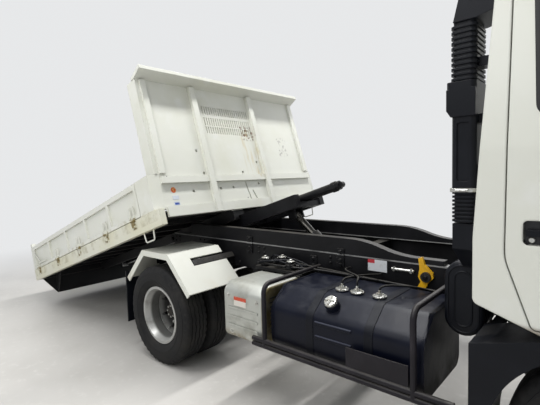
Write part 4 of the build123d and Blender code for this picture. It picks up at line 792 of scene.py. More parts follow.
print("a nut of six sides has", len(turned([(0, 1), (1, 1)], (0, 0, 0), UP, 6)[1]), "faces")

# %% [markdown]
# Windows, lids and ducts have outlines with round corners. A drawn curve would do, but a line of
# points made from corners and radii is easy to check and to offset.

# %% Round-cornered outlines
def round_corners(corners, steps=7):
    """A closed line through corners, each with its radius."""
    line = []
    for i, (x, z, radius) in enumerate(corners):
        here = Vector((x, z))
        back = (Vector(corners[i - 1][:2]) - here).normalized()
        on = (Vector(corners[(i + 1) % len(corners)][:2]) - here).normalized()
        half = back.angle(on) / 2
        run = radius / math.tan(half)
        centre = here + (back + on).normalized() * (radius / math.sin(half))
        start, end = here + back * run - centre, here + on * run - centre
        turn = start.angle_signed(end)
        for step in range(steps + 1):
            a = -turn * step / steps
            line.append(centre + Vector((start.x * math.cos(a) - start.y * math.sin(a),
                                         start.x * math.sin(a) + start.y * math.cos(a))))
    return line


def rectangle(low, high, radius, steps=7):
    """A rectangle between two corners, with round corners."""
    return round_corners([(low[0], low[1], radius), (low[0], high[1], radius),
                          (high[0], high[1], radius), (high[0], low[1], radius)], steps)


print("points on a window's outline", len(rectangle((0, 0), (1, 1), 0.05)))

# %% [markdown]
# A rubber seal or a pressed ridge is a low rounded band that follows such an outline and closes on
# itself. Six points across it are enough for a soft section.

# %% Strips along an outline
STRIP_SECTION = ((-1, -0.6), (-0.8, 0.7), (-0.3, 1), (0.3, 1), (0.8, 0.7), (1, -0.6))
SOFT_EDGES = 60


def strip(line, put, out, half_width, gauge):
    """A closed band along a flat line. put places a flat point in the truck; out is the way it faces."""
    count = len(line)
    points = []
    centre = sum(line, Vector((0, 0))) / count
    for i in range(count):
        along_line = (line[(i + 1) % count] - line[i - 1]).normalized()
        away = Vector((along_line.y, -along_line.x))
        if away.dot(line[i] - centre) < 0:
            away = -away
        for across_strip, height in STRIP_SECTION:
            points.append(put(line[i] + away * half_width * across_strip) + Vector(out) * gauge * height)
    return points, skin(count, len(STRIP_SECTION), True)


print("a strip has", len(STRIP_SECTION), "points across")

# %% [markdown]
# ## Tyres
# A truck tyre has wide ribs with zigzag grooves between them, notched shoulders and raised rings
# on its side walls. The solid gives the section. Here the same section is turned again with more
# rings, and every other step shifts the groove walls, which draws the zigzag without any
# cutting.

# %% Tyres with tread
TREAD_STEPS = 132
GROOVE_DEPTH = 0.011
GROOVE_HALF = 0.0045
GROOVES = (0.052, 0.018, -0.018, -0.052)
ZIGZAG = 0.0035
NOTCH_IN, NOTCH_DOWN = 0.004, 0.007
CROWN, CROWN_DROP = 0.4024, 0.0010
# Side wall from the bead outwards: distance from the tyre's middle, radius
SIDE_WALL = [(0.076, 0.223), (0.078, 0.239), (0.090, 0.247), (0.101, 0.262), (0.107, 0.280), (0.1105, 0.289),
             (0.1125, 0.2895), (0.1125, 0.2955), (0.1112, 0.2965), (0.1128, 0.316), (0.1122, 0.335),
             (0.1100, 0.346), (0.1115, 0.3475), (0.1105, 0.3535), (0.1070, 0.3550), (0.1040, 0.370)]
# The same for the shoulder, and whether a notch cuts into it there
SHOULDER = [(0.0995, 0.3835, 1), (0.0925, 0.3945, 1), (0.0820, 0.4000, 0)]


def on_wheel(axle_x, y, reach, angle):
    """A place at a distance from an axle and at an angle round it."""
    return on_truck(axle_x + reach * math.cos(angle), y, AXLE_Z + reach * math.sin(angle))


def tyre_ring(swing, notch):
    """The section at one step round the tyre, from one bead over the tread to the other."""
    half = SIDE_WALL + [(a - NOTCH_IN * notch * cut, r - NOTCH_DOWN * notch * cut) for a, r, cut in SHOULDER]
    tread = []
    for middle in GROOVES:
        centre = middle + swing * ZIGZAG
        crown = CROWN - CROWN_DROP * abs(middle) / GROOVES[0]
        tread += [(centre + GROOVE_HALF, crown), (centre + GROOVE_HALF * 0.5, crown - GROOVE_DEPTH),
                  (centre - GROOVE_HALF * 0.5, crown - GROOVE_DEPTH), (centre - GROOVE_HALF, crown)]
    return half + tread + [(-a, r) for a, r in reversed(half)]


def tyre(middle_y, axle_x):
    """One tyre about an axle."""
    points = []
    for step, angle in enumerate(turns(TREAD_STEPS)):
        section = tyre_ring((-1, 0, 1, 0)[step % 4], 1 if step % 3 == 0 else 0)
        points += [on_wheel(axle_x, middle_y + offset, radius, angle) for offset, radius in section]
    return points, skin(TREAD_STEPS, len(section), True)


for label, side in SIDES.items():
    front = fitted(f"front_tyre_tread_{label}", [tyre(side * 0.850, FRONT_AXLE_X)], tyre_rubber,
                   f"front_wheel_{label}", 30)
    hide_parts(f"front_tyre_{label}")
    rear = fitted(f"rear_tyre_tread_{label}", [tyre(side * 0.703, 0), tyre(side * 0.957, 0)], tyre_rubber,
                  f"rear_wheels_{label}", 30)
    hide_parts(f"rear_tyres_{label}")
print("faces on one tyre", len(tyre(0, 0)[1]))

# %% [markdown]
# ## Wheel nuts
# Six large nuts hold each wheel. A nut is a chamfered hexagon on a washer with the stud standing
# out of it. It could be cut from a cylinder. Turning a profile with six sides gives the same
# shape at once, and the stud is turned with more.

# %% Wheel nuts, hub caps and valves
NUT_CIRCLE = 0.111
HUB_CIRCLE = 0.046
NUT = [(0.0, 0.026), (0.004, 0.026), (0.004, 0.0235), (0.030, 0.0235), (0.034, 0.019)]
STUD = [(0.030, 0.0115), (0.046, 0.0115), (0.049, 0.009)]
STEM = [(0, 0.006), (0.03, 0.0045), (0.038, 0.0055), (0.048, 0.0055)]
HUB_CAP = [(0, 0.064), (0.010, 0.062), (0.022, 0.050), (0.027, 0.020)]
HUB_BOLT = [(0, 0.008), (0.007, 0.008), (0.008, 0.006)]


def wheel_nuts(face_y, side, axle_x):
    """Six nuts round the hub with their studs."""
    shapes = []
    for angle in turns(6, 0.25):
        base = on_wheel(axle_x, side * face_y, NUT_CIRCLE, angle)
        shapes.append(turned(NUT, base, (0, side, 0), 6, angle))
        shapes.append(turned(STUD, base, (0, side, 0), 12))
    return shapes


def valve_stem(face_y, side, axle_x):
    """The tyre's valve, bent out of the rim's well."""
    return turned(STEM, on_truck(axle_x + 0.198, side * face_y, AXLE_Z + 0.02), (-0.25, side, 0), 10)


for label, side in SIDES.items():
    front_shapes = wheel_nuts(0.976, side, FRONT_AXLE_X)
    front_shapes.append(turned(HUB_CAP, on_truck(FRONT_AXLE_X, side * 1.024, AXLE_Z), (0, side, 0), 32))
    front_shapes.append(valve_stem(0.905, side, FRONT_AXLE_X))
    fitted(f"front_nuts_{label}", front_shapes, zinc_plate, f"front_wheel_{label}")
    rear_shapes = wheel_nuts(0.841, side, 0)
    for angle in turns(8):
        base = on_wheel(0, side * 0.9245, HUB_CIRCLE, angle)
        rear_shapes.append(turned(HUB_BOLT, base, (0, side, 0), 6, angle))
    rear_shapes.append(valve_stem(0.90, side, 0))
    fitted(f"rear_nuts_{label}", rear_shapes, zinc_plate, f"rear_wheels_{label}")
print("shapes on a front hub", len(front_shapes), "and on a rear one", len(rear_shapes))

# %% [markdown]
# ## Rivets and bolts on the frame
# Crossmembers are riveted to the rails with domed heads, and the clamp plates are bolted with
# washers under the heads. Both are shown in black, because the frame was painted after it was
# put together. All of a side's are one mesh, set out from a list of places.

# %% Frame fasteners
RAIL_Y = 0.430
RIVET = [(0, 0.0115), (0.003, 0.0112), (0.006, 0.009), (0.008, 0.005)]
BOLT = [(0, 0.017), (0.003, 0.017), (0.003, 0.0125), (0.011, 0.0125), (0.0125, 0.0105)]
CROSSMEMBERS = (-0.56, -0.17, 0.60, 1.30, 2.23, 3.02)
CLAMPS = ((1.1275, (0.85, 0.90)), (1.3585, (0.885, 0.915, 0.975)), (0.470, (0.885, 0.915, 0.990)))
rivets = [(x + dx, z) for x in CROSSMEMBERS for dx in (-0.03, 0.03) for z in (0.775, 0.815, 0.885, 0.925)]
rivets += [(0.12 + 0.22 * turn, 0.775) for turn in range(14)]
bolts = [(x, z) for x, heights in CLAMPS for z in heights]
for label, side in SIDES.items():
    shapes = [turned(RIVET, on_truck(x, side * RAIL_Y, z), (0, side, 0), 12) for x, z in rivets]
    shapes += [turned(BOLT, on_truck(x, side * (RAIL_Y + 0.010), z), (0, side, 0), 6) for x, z in bolts]
    fitted(f"frame_fasteners_{label}", shapes, frame_black)
print("rivets", len(rivets), "and bolts", len(bolts), "on each rail")

# %% [markdown]
# ## Fittings on the tank
# On top stand three round flanges with nuts and a pipe union each, and on the slope the filler
# cap with a raised cross to grip. They are plated, so they catch the light, and so each is turned
# with its steps and edges. A smooth knob would look right only in a shadow.

# %% Tank fittings
CAP_AT = on_truck(1.610, -0.930, 0.768)
CAP_OUT = Vector((0, -0.6, 0.8))
CAP_UP = Vector((0, 0.8, 0.6))
CAP = [(0.037, 0.036), (0.042, 0.037), (0.052, 0.037), (0.057, 0.034), (0.0575, 0.032)]
FLANGE = [(-0.006, 0.0395), (0.002, 0.0395), (0.003, 0.037)]
UNION = [(0.002, 0.013), (0.016, 0.013), (0.017, 0.011)]
PIPE_END = [(0.016, 0.008), (0.030, 0.008), (0.032, 0.006)]
SMALL_NUT = [(0.0, 0.0062), (0.008, 0.0062), (0.009, 0.005)]

cap_shapes = [turned(CAP, CAP_AT, CAP_OUT, 40)]
for bar in (AHEAD, CAP_UP):
    cap_shapes.append(block(CAP_AT + CAP_OUT * 0.060, (0.060, 0.014, 0.015), 0.004,
                            (bar, CAP_OUT.cross(bar), CAP_OUT)))
for angle in turns(20):
    away = spoke(angle, AHEAD, CAP_UP)
    beside = -math.sin(angle) * AHEAD + math.cos(angle) * CAP_UP
    tooth_at = CAP_AT + CAP_OUT * 0.046 + away * 0.0365
    cap_shapes.append(block(tooth_at, (0.004, 0.006, 0.011), 0.001, (away, beside, CAP_OUT)))
fitted("filler_cap", cap_shapes, zinc_plate)

union_shapes = []
for x in (1.58, 1.68, 1.82):
    base = on_truck(x, -0.785, 0.834)
    for profile, count in ((FLANGE, 28), (UNION, 6), (PIPE_END, 12)):
        union_shapes.append(turned(profile, base, UP, count))
    for angle in turns(5):
        union_shapes.append(turned(SMALL_NUT, base + spoke(angle) * 0.029, UP, 6))
fitted("tank_unions", union_shapes, zinc_plate)
print("cap shapes", len(cap_shapes), "and union shapes", len(union_shapes))

# %% [markdown]
# Thin steel lines run from the tank's unions to the frame. A rigid pipe keeps one thickness along
# its bends. Blender can sweep a circle along a smooth curve by itself, so each pipe is only a few
# points and a radius.

# %% Steel lines
def steel_line(name, radius, finish, places):
    """A rigid pipe bent through points of the truck."""
    curve = bpy.data.curves.new(name, "CURVE")
    curve.dimensions = "3D"
    curve.bevel_depth = radius
    curve.bevel_resolution = 3
    curve.use_fill_caps = True
    run = curve.splines.new("NURBS")
    run.points.add(len(places) - 1)
    for point, place in zip(run.points, places):
        point.co = (*on_truck(*place), 1)
    run.order_u = 3
    run.use_endpoint_u = True
    run.resolution_u = 6
    curve.materials.append(finish)
    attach(in_scene(name, curve), "chassis")


tank_lines = [
    ("feed_line", 0.006, [(1.58, -0.785, 0.862), (1.58, -0.785, 0.890), (1.60, -0.72, 0.895),
                          (1.63, -0.60, 0.885), (1.66, -0.50, 0.87), (1.66, -0.438, 0.86)]),
    ("return_line", 0.006, [(1.68, -0.785, 0.862), (1.68, -0.785, 0.900), (1.66, -0.72, 0.905),
                            (1.50, -0.62, 0.90), (1.44, -0.50, 0.885), (1.44, -0.438, 0.875)]),
    ("breather_line", 0.006, [(1.82, -0.785, 0.862), (1.82, -0.785, 0.885), (1.86, -0.73, 0.888),
                              (1.96, -0.62, 0.87), (2.02, -0.50, 0.82), (2.02, -0.438, 0.80)]),
    ("air_line_upper", 0.008, [(0.78, -0.470, 0.860), (0.95, -0.470, 0.862), (1.06, -0.478, 0.850),
                               (1.25, -0.475, 0.845), (1.60, -0.468, 0.825), (2.05, -0.468, 0.815)]),
    ("air_line_lower", 0.008, [(0.78, -0.600, 0.850), (0.92, -0.600, 0.848), (1.08, -0.580, 0.850),
                               (1.22, -0.500, 0.840), (1.60, -0.488, 0.832), (2.05, -0.488, 0.822)]),
]
for name, radius, places in tank_lines:
    steel_line(name, radius, frame_black, places)
print("lines round the tank", len(tank_lines))

# %% [markdown]
# ## Valve gear on the tray
# Four round valve bodies with plated lids stand on a tray beside the frame, ahead of the fender,
# with unions and short pipes round them. The real ones are castings; turned shapes with a ring of
# small bolts read the same at this size.

# %% Valve gear
TRAY_Z = 0.825
VALVE = [(-0.052, 0.040), (-0.046, 0.041), (-0.020, 0.041), (-0.016, 0.036)]
LID = [(-0.004, 0.031), (0.003, 0.031), (0.006, 0.026), (0.007, 0.012), (0.016, 0.012), (0.018, 0.009)]
LID_BOLT = [(-0.018, 0.006), (-0.008, 0.006), (-0.007, 0.004)]
PORT = [(0.034, 0.011), (0.052, 0.011), (0.054, 0.008), (0.062, 0.008)]
# Ahead of the axle, to the left, and height over the tray
VALVES = ((0.760, -0.560, 0.060), (0.900, -0.520, 0.075), (1.010, -0.560, 0.060), (0.850, -0.480, 0.055))
valve_shapes, lid_shapes = [], []
for x, y, height in VALVES:
    top = on_truck(x, y, TRAY_Z + height)
    valve_shapes.append(turned(VALVE, top, UP, 28))
    lid_shapes.append(turned(LID, top, UP, 28))
    for angle in turns(6):
        valve_shapes.append(turned(LID_BOLT, top + 0.0365 * spoke(angle + x), UP, 6))
    for angle in (0.6, 2.5, 4.2):
        valve_shapes.append(turned(PORT, top - 0.034 * UP, spoke(angle), 6))
fitted("valve_bodies", valve_shapes, frame_black)
fitted("valve_lids", lid_shapes, zinc_plate)
tray_lines = [
    ("tray_line_front", 0.007, [(0.775, -0.520, 0.850), (0.800, -0.490, 0.870), (0.860, -0.560, 0.885),
                                (0.960, -0.580, 0.872), (1.060, -0.520, 0.850), (1.120, -0.450, 0.840)]),
    ("tray_line_middle", 0.009, [(0.720, -0.600, 0.850), (0.790, -0.615, 0.872), (0.880, -0.590, 0.880),
                                 (0.960, -0.520, 0.884), (1.050, -0.500, 0.860), (1.130, -0.560, 0.838)]),
    ("tray_line_rear", 0.007, [(0.710, -0.450, 0.840), (0.760, -0.480, 0.890), (0.850, -0.530, 0.905),
                               (0.940, -0.490, 0.890), (1.030, -0.460, 0.870), (1.130, -0.480, 0.845)]),
]
for name, radius, places in tray_lines:
    steel_line(name, radius, moulded_black, places)
print("valves", len(VALVES), "and lines over the tray", len(tray_lines))

# %% [markdown]
# ## The plated cover
# Ahead of the fender hangs a box with a cover of dull plated sheet. The sheet wraps over the top
# with a wide round shoulder and has three shallow pressed ribs. The solid has the box's size with
# its corners rounded along the truck; here the cover is drawn as one sheet along its own bend,
# with its ends drawn in. It is held by washers and bolts, and its front end has dark fins that
# let the heat out.

# %% Cover, bolts and fins
COVER_REAR = 0.770
COVER_SKIN_Y = -1.010
COVER_MIDDLE = (-0.815, 0.610)
COVER_HALF = (0.195, 0.190)
COVER_BEND = [(-0.620, 0.420, 0.020), (-1.010, 0.420, 0.045), (-1.010, 0.800, 0.085), (-0.620, 0.800, 0.020)]
# Distance along the cover and how far it is drawn in there
COVER_ENDS = [(0.0, 0.016), (0.002, 0.008), (0.007, 0.002), (0.015, 0.0),
              (0.345, 0.0), (0.353, 0.002), (0.358, 0.008), (0.360, 0.016)]
COVER_BOLT = [(-0.002, 0.017), (0.0015, 0.017), (0.0015, 0.010), (0.007, 0.010), (0.008, 0.008)]
cover_line = round_corners(COVER_BEND, 10)


def drawn_in(value, axis, inset):
    """A measure of the cover's outline, drawn in towards its middle by an inset."""
    middle = COVER_MIDDLE[axis]
    return middle + (value - middle) * (1 - inset / COVER_HALF[axis])


cover_points = []
for distance, inset in COVER_ENDS:
    cover_points += [on_truck(COVER_REAR + distance, drawn_in(p.x, 0, inset), drawn_in(p.y, 1, inset))
                     for p in cover_line]
cover_shapes = [(cover_points, skin(len(COVER_ENDS), len(cover_line), False))]
for z in (0.513, 0.573, 0.633):
    cover_shapes.append(block(on_truck(0.950, -1.009, z), (0.290, 0.010, 0.022), 0.0045))
cover_shapes.append(block(on_truck(0.950, -0.5275, 0.7675), (0.100, 0.195, 0.045), 0.003))
plated_box = fitted("plated_cover", cover_shapes, plated_cover, "chassis", 40)
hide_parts("exhaust_box")
cover_bolts = ((0.815, 0.715), (1.085, 0.705), (0.845, 0.470), (1.075, 0.455))
bolt_shapes = [turned(COVER_BOLT, on_truck(x, COVER_SKIN_Y, z), -ACROSS, 20) for x, z in cover_bolts]
fitted("cover_bolts", bolt_shapes, zinc_plate)
fin_axes = (Vector((0.5, 0, 0.866)), ACROSS, Vector((-0.866, 0, 0.5)))
fin_places = [on_truck(1.1305, -0.860, 0.500 + 0.028 * turn) for turn in range(9)]
fin_shapes = [block(place, (0.012, 0.150, 0.003), 0.001, fin_axes) for place in fin_places]
fitted("cover_fins", fin_shapes, frame_black)
print("plated cover has", len(cover_points), "points and", len(fin_shapes), "fins")

# %% [markdown]
# ## Bars through the fenders, ridges on the air cleaner
# A flat bar with holes passes through the slot in each fender's front slope and carries the
# fender on the frame. The air cleaner's oval lid is stiffened by two pressed ridges, drawn
# as closed strips. Under the rail hangs a small bracket with two pipe couplings.

# %% Fender bars, lid ridges, rail bracket
SLOPE = Vector((265, 0, -270)).normalized()
SLOPE_UP = Vector((270, 0, 265)).normalized()
BAR_X, BAR_Z = 0.262, 0.8385
HOLE_RIM = [(0.004, 0.011), (0.0065, 0.011), (0.0065, 0.008), (0.0045, 0.007)]
COUPLING = [(0, 0.016), (0.030, 0.016), (0.030, 0.011), (0.048, 0.011)]
PLUG = [(0, 0.012), (0.036, 0.012), (0.040, 0.009)]
LID_X, LID_LOW, LID_HIGH = 2.251, 0.800, 0.990
for label, side in SIDES.items():
    bar_shapes = [block(on_truck(BAR_X, side * 0.655, BAR_Z), (0.052, 0.440, 0.010), 0.002,
                        (SLOPE, ACROSS, SLOPE_UP))]
    for hole in range(7):
        hole_at = on_truck(BAR_X, side * (0.50 + 0.055 * hole), BAR_Z)
        bar_shapes.append(turned(HOLE_RIM, hole_at, SLOPE_UP, 16))
    fitted(f"fender_bar_{label}", bar_shapes, frame_black)


def on_lid(p):
    """A point of the air cleaner's outer lid."""
    return on_truck(p.x, -0.7805, p.y)


ridge_shapes = []
for reach in (0.070, 0.040):
    oval = rectangle((LID_X - reach, LID_LOW - reach), (LID_X + reach, LID_HIGH + reach), reach * 0.99, 10)
    ridge_shapes.append(strip(oval, on_lid, (0, -1, 0), 0.005, 0.0035))
fitted("air_cleaner_ridges", ridge_shapes, moulded_black, "chassis", SOFT_EDGES)

bracket_shapes = [block(on_truck(2.115, -0.4365, 0.700), (0.070, 0.012, 0.110), 0.003),
                  block(on_truck(2.115, -0.475, 0.652), (0.070, 0.085, 0.010), 0.003)]
fitted("rail_bracket", bracket_shapes, frame_black)
coupling_shapes = [turned(COUPLING, on_truck(2.100, -0.485, 0.657), UP, 6),
                   turned(PLUG, on_truck(2.135, -0.480, 0.657), UP, 16)]
for z in (0.680, 0.735):
    coupling_shapes.append(turned(BOLT, on_truck(2.115, -0.4425, z), -ACROSS, 6))
fitted("rail_couplings", coupling_shapes, zinc_plate)
print("holes in a fender bar", len(bar_shapes) - 1, "and ridges on the lid", len(ridge_shapes))

# %% [markdown]
# ## The bed lock's rod and hub
# A bright rod lies along the rail behind the yellow lock and draws it open. The lock turns on a
# bolt with a wide washer. Both are turned shapes, like the nuts.

# %% Lock rod and hub bolt
ROD = [(0, 0.007), (0.002, 0.009), (0.142, 0.009), (0.144, 0.007)]
WIDE_BOLT = [(-0.001, 0.019), (0.002, 0.019), (0.002, 0.012), (0.011, 0.012), (0.0125, 0.010)]
lock_shapes = [turned(ROD, on_truck(1.736, -0.446, 0.910), AHEAD, 16)]
for x in (1.752, 1.862):
    lock_shapes.append(block(on_truck(x, -0.443, 0.910), (0.012, 0.028, 0.030), 0.003))
fitted("lock_rod", lock_shapes, zinc_plate)
hub_bolt = turned(WIDE_BOLT, on_truck(LOCK_HUB[0], -0.464, LOCK_HUB[1]), -ACROSS, 6)
fitted("lock_hub_bolt", [hub_bolt], frame_black)
print("lock rod held at", len(lock_shapes) - 1, "places")

# %% [markdown]
# ## Labels without print
# The truck carries a few small labels. They keep their shape and colours, and nothing is
# written on them. Each is a thin rounded plate with one coloured field, a little scuffed. An
# image on a plane would be quicker, but a plate also shows its edge.

# %% Labels
FILM = 0.0016
FILM_EDGE = 0.0007


def label_finish(name, ground, field, low, high, first="X", on_bed_axes=False):
    """A printed film: a ground colour and one coloured field between two corners."""
    film = Finish(name, ground, 0.35)
    film_axes = film.axes(film.bed_place() if on_bed_axes else film.place)
    sideways = film.within(film_axes[first], low[0], high[0], 0.0008)
    film.lay(field, sideways, film.within(film_axes["Z"], low[1], high[1], 0.0008))
    film.lay((0.50, 0.50, 0.48), film.clouds(45, 5, 0.55, 0.75, 0, 0.6), rough=0.6)
    return film.done(depth=0.0001, edge=0.0005)


rail_film = label_finish("rail_label_film", (0.62, 0.64, 0.66), (0.50, 0.03, 0.04),
                         (REAR_X + 1.564, 0.925), (REAR_X + 1.612, 0.949))
fitted("rail_label", [block(on_truck(1.631, -0.4308, 0.911), (0.134, FILM, 0.076), FILM_EDGE)], rail_film)
cover_film = label_finish("cover_label_film", (0.66, 0.62, 0.56), (0.55, 0.06, 0.02),
                          (REAR_X + 0.87, 0.690), (REAR_X + 0.99, 0.716))
fitted("cover_label", [block(on_truck(0.930, -1.0108, 0.683), (0.115, FILM, 0.062), FILM_EDGE)], cover_film)
post_film = label_finish("post_label_film", (0.60, 0.64, 0.70), (0.03, 0.08, 0.35),
                         (-0.905, 1.214), (-0.862, 1.232), "Y", True)
post_shapes = [block(on_bed(0.4808, -0.884, n), (FILM, 0.060, height), FILM_EDGE, BED_AXES)
               for n, height in ((1.225, 0.032), (1.275, 0.034))]
fitted("post_label", post_shapes, post_film, "bed")
spot = Finish("spot_label_film", (0.62, 0.10, 0.02), 0.4)
spot.lay((0.75, 0.42, 0.12), spot.clouds(60, 3, 0.48, 0.56))
spot_film = spot.done(depth=0.0001, edge=0.0005)
spot_shape = turned([(-0.001, 0.024), (0.0012, 0.024), (0.0016, 0.0235)], on_bed(0.480, -0.892, 1.340),
                    ALONG_BED, 32)
fitted("spot_label", [spot_shape], spot_film, "bed")
print("labels:", rail_film.name, cover_film.name, post_film.name, spot_film.name)

# %% [markdown]
# ## Window seals
# Each pane sits in a black rubber seal. The seal follows the window's outline, which has round
# corners and lies in a leaning wall. A closed strip with an eased section is drawn
# along that outline, and its two ends meet.

# %% Seals
DOOR_WINDOW = [(2.585, 1.721, 0.040), (2.568, 2.205, 0.060), (3.340, 2.195, 0.050), (3.445, 1.650, 0.060)]
SCREEN = [(-0.930, 1.620, 0.060), (-0.880, 2.300, 0.060), (0.880, 2.300, 0.060), (0.930, 1.620, 0.060)]


def on_cab_back(p):
    """A point of the cab's back, which leans forward."""
    return on_truck(2.360 + REAR_LEAN * (p.y - TAIL_BELT_Z), p.x, p.y)


def on_screen(p):
    """A point of the windscreen's plane."""
    return on_truck(3.905 - SCREEN_LEAN * (p.y - 1.56), p.x, p.y)


for label, side in SIDES.items():
    def on_door(p, side=side):
        """A point of the door's outside, which leans in above the belt."""
        return on_truck(p.x, side * (1.045 - SIDE_LEAN * (p.y - BELT_Z)), p.y)

    door_seal = strip(round_corners(DOOR_WINDOW), on_door, (0, side, 0), 0.016, 0.004)
    fitted(f"door_seal_{label}", [door_seal], seal_rubber, f"door_{label}", SOFT_EDGES)
back_window = rectangle((-0.560, 1.720), (0.560, 2.130), 0.050)
back_seal = strip(back_window, on_cab_back, (-1, 0, 0.066), 0.018, 0.005)
fitted("back_window_seal", [back_seal], seal_rubber, "cab", SOFT_EDGES)
screen_seal = strip(round_corners(SCREEN), on_screen, (1, 0, 0.35), 0.018, 0.005)
fitted("screen_seal", [screen_seal], seal_rubber, "cab", SOFT_EDGES)
print("points on the windscreen's seal", len(screen_seal[0]))

# %% [markdown]
# ## Front of the cab
# Wipers lie along the foot of the windscreen, a dark mesh stands behind the grille's slots, and the
# number plates are blank. The mesh is drawn bar by bar, because a see-through picture on one
# plane would look flat from the side.

# %% Wipers, grille mesh, plates
SCREEN_OUT = Vector((0.944, 0, 0.331))
wiper_shapes = []
for pivot_y, tip_y in ((0.62, 0.08), (0.02, -0.52), (-0.30, -0.84)):
    pivot = on_screen(Vector((pivot_y, 1.605))) + Vector((0.018, 0, 0.006))
    tip = on_screen(Vector((tip_y, 1.680))) + Vector((0.020, 0, 0.007))
    run = tip - pivot
    wiper_axes = (run.normalized(), SCREEN_OUT.cross(run.normalized()), SCREEN_OUT)
    wiper_shapes.append(turned([(-0.028, 0.016), (0.004, 0.016), (0.007, 0.012)], pivot, SCREEN_OUT, 16))
    wiper_shapes.append(block(pivot + run * 0.42, (run.length * 0.84, 0.010, 0.005), 0.0015, wiper_axes))
    blade = pivot + run * 0.80 + run * 0.02 - SCREEN_OUT * 0.008
    wiper_shapes.append(block(blade, (0.46, 0.007, 0.014), 0.002, wiper_axes))
fitted("wipers", wiper_shapes, moulded_black, "cab")

upright_bars = [on_truck(3.885, -0.70 + 1.40 * bar / 57, 1.265) for bar in range(58)]
level_bars = [on_truck(3.881, 0, 1.075 + 0.025 * bar) for bar in range(16)]
grille = [block(place, (0.004, 0.004, 0.40), 0.001) for place in upright_bars]
grille += [block(place, (0.004, 1.42, 0.004), 0.001) for place in level_bars]
fitted("grille_mesh", grille, moulded_black, "cab")
intake_bars = [on_truck(3.905, -0.5075 + 0.029 * bar, 0.505) for bar in range(36)]
intake = [block(on_truck(3.899, 0, 0.505), (0.004, 1.050, 0.125), 0.0015)]
intake += [block(place, (0.010, 0.005, 0.118), 0.0015) for place in intake_bars]
fitted("intake_mesh", intake, moulded_black)

plate = Finish("blank_plate", (0.70, 0.71, 0.70), 0.35)
plate.lay((0.55, 0.54, 0.50), plate.clouds(9, 5, 0.5, 0.8), rough=0.5)
plate_finish = plate.done(depth=0.0001, edge=0.001)
for name, x, z, height in (("front_plate", 3.9715, 0.665, 0.165), ("rear_plate", -0.6615, 0.470, 0.098)):
    fitted(name, [block(on_truck(x, 0, z), (0.003, 0.330, height), 0.0014)], plate_finish)
print("bars in the grille", len(grille), "and in the intake", len(intake) - 1)

# %% [markdown]
# ## Mirrors, locks and the snorkel's clamp
# Mirror glass sits a little inside its black shell. The door has a small plated lock, and a
# plated band clamps the bellows to the duct. The glass and the band are both made of rings of
# points with a skin over them, the same way as a turned shape.

# %% Mirror glass, door locks, clamp
DOOR_LOCK = [(-0.002, 0.011), (0.008, 0.011), (0.010, 0.009), (0.010, 0.003)]
CLAMP_SCREW = [(-0.022, 0.006), (0.020, 0.006), (0.022, 0.008), (0.028, 0.008)]
MIRROR_Y, MIRROR_HALF = 1.200, 0.080
# How far the band stands out, and the height there
CLAMP_BAND = ((0.000, 1.4405), (0.004, 1.4395), (0.004, 1.4235), (0.000, 1.4225))
for label, side in SIDES.items():
    middle = side * MIRROR_Y
    glass_line = rectangle((middle - MIRROR_HALF, 1.580), (middle + MIRROR_HALF, 1.930), 0.022)
    glass_points = [on_truck(x, p.x, p.y) for x in (3.7395, 3.7375) for p in glass_line]
    fitted(f"mirror_glass_{label}", [(glass_points, skin(2, len(glass_line), False))], mirror_glass, "cab")
    lock = turned(DOOR_LOCK, on_truck(2.562, side * 1.0205, 1.246), (0, side, 0), 24)
    fitted(f"door_lock_{label}", [lock], zinc_plate, f"door_{label}")

clamp_line = round_corners([(2.2405, -0.9545, 0.022), (2.3495, -0.9545, 0.022),
                            (2.3495, -0.7705, 0.022), (2.2405, -0.7705, 0.022)])
clamp_middle = sum(clamp_line, Vector((0, 0))) / len(clamp_line)
clamp_points = []
for p in clamp_line:
    away = (p - clamp_middle).normalized()
    clamp_points += [on_truck(*(p + away * out_by), height) for out_by, height in CLAMP_BAND]
clamp = (clamp_points, skin(len(clamp_line), len(CLAMP_BAND), True))
screw = turned(CLAMP_SCREW, on_truck(2.290, -0.961, 1.431), AHEAD, 12)
fitted("snorkel_clamp", [clamp, screw], zinc_plate, "cab")
print("points on the clamp", len(clamp_points))

# %% [markdown]
# ## Seats
# The driver has a single seat and there is a bench beside it, in woven cloth. Threads that cross
# are two waves multiplied, which gives both the colour between the threads and the relief.

# %% Seat cloth
THREADS = 160
cloth = Finish("seat_cloth", (0.050, 0.052, 0.060), 0.88, Sheen_Weight=0.35, Sheen_Roughness=0.5)
cloth.lay((0.095, 0.098, 0.110), cloth.clouds(5, 5, 0.45, 0.75, 0, 0.7))
threads = []
for direction in ("Y", "DIAGONAL"):
    thread = cloth.add("TexWave", bands_direction=direction)
    thread.inputs["Scale"].default_value = THREADS
    cloth.feed(thread.inputs["Vector"], cloth.place)
    threads.append(thread.outputs["Fac"])
weave = cloth.meet(*threads)
cloth.lay((0.022, 0.023, 0.027), cloth.rise(weave, 0.15, 0.5, 0.6, 0))
seat_cloth = cloth.done(relief=weave, depth=0.0006, edge=0.002)
print("seat cloth mixed with", len(threads), "waves")

# %% [markdown]
# A cushion is padded, so its faces crown and its seams pull in. It could be sculpted by hand. Here
# a closed block with round edges is swollen like a bag by the cloth solver, which crowns it
# evenly, and the seams are then pressed in.

# %% Swelling a cushion
BAG_STEPS = 20
BAG_PRESSURE = 4
MARGIN = Vector((0.022, 0.022, 0.022))
SEAM_DEPTH = 0.011
SEAM_WIDTH = 0.009


def evaluated(pad):
    """The pad as its modifiers make it now."""
    return pad.evaluated_get(bpy.context.evaluated_depsgraph_get())


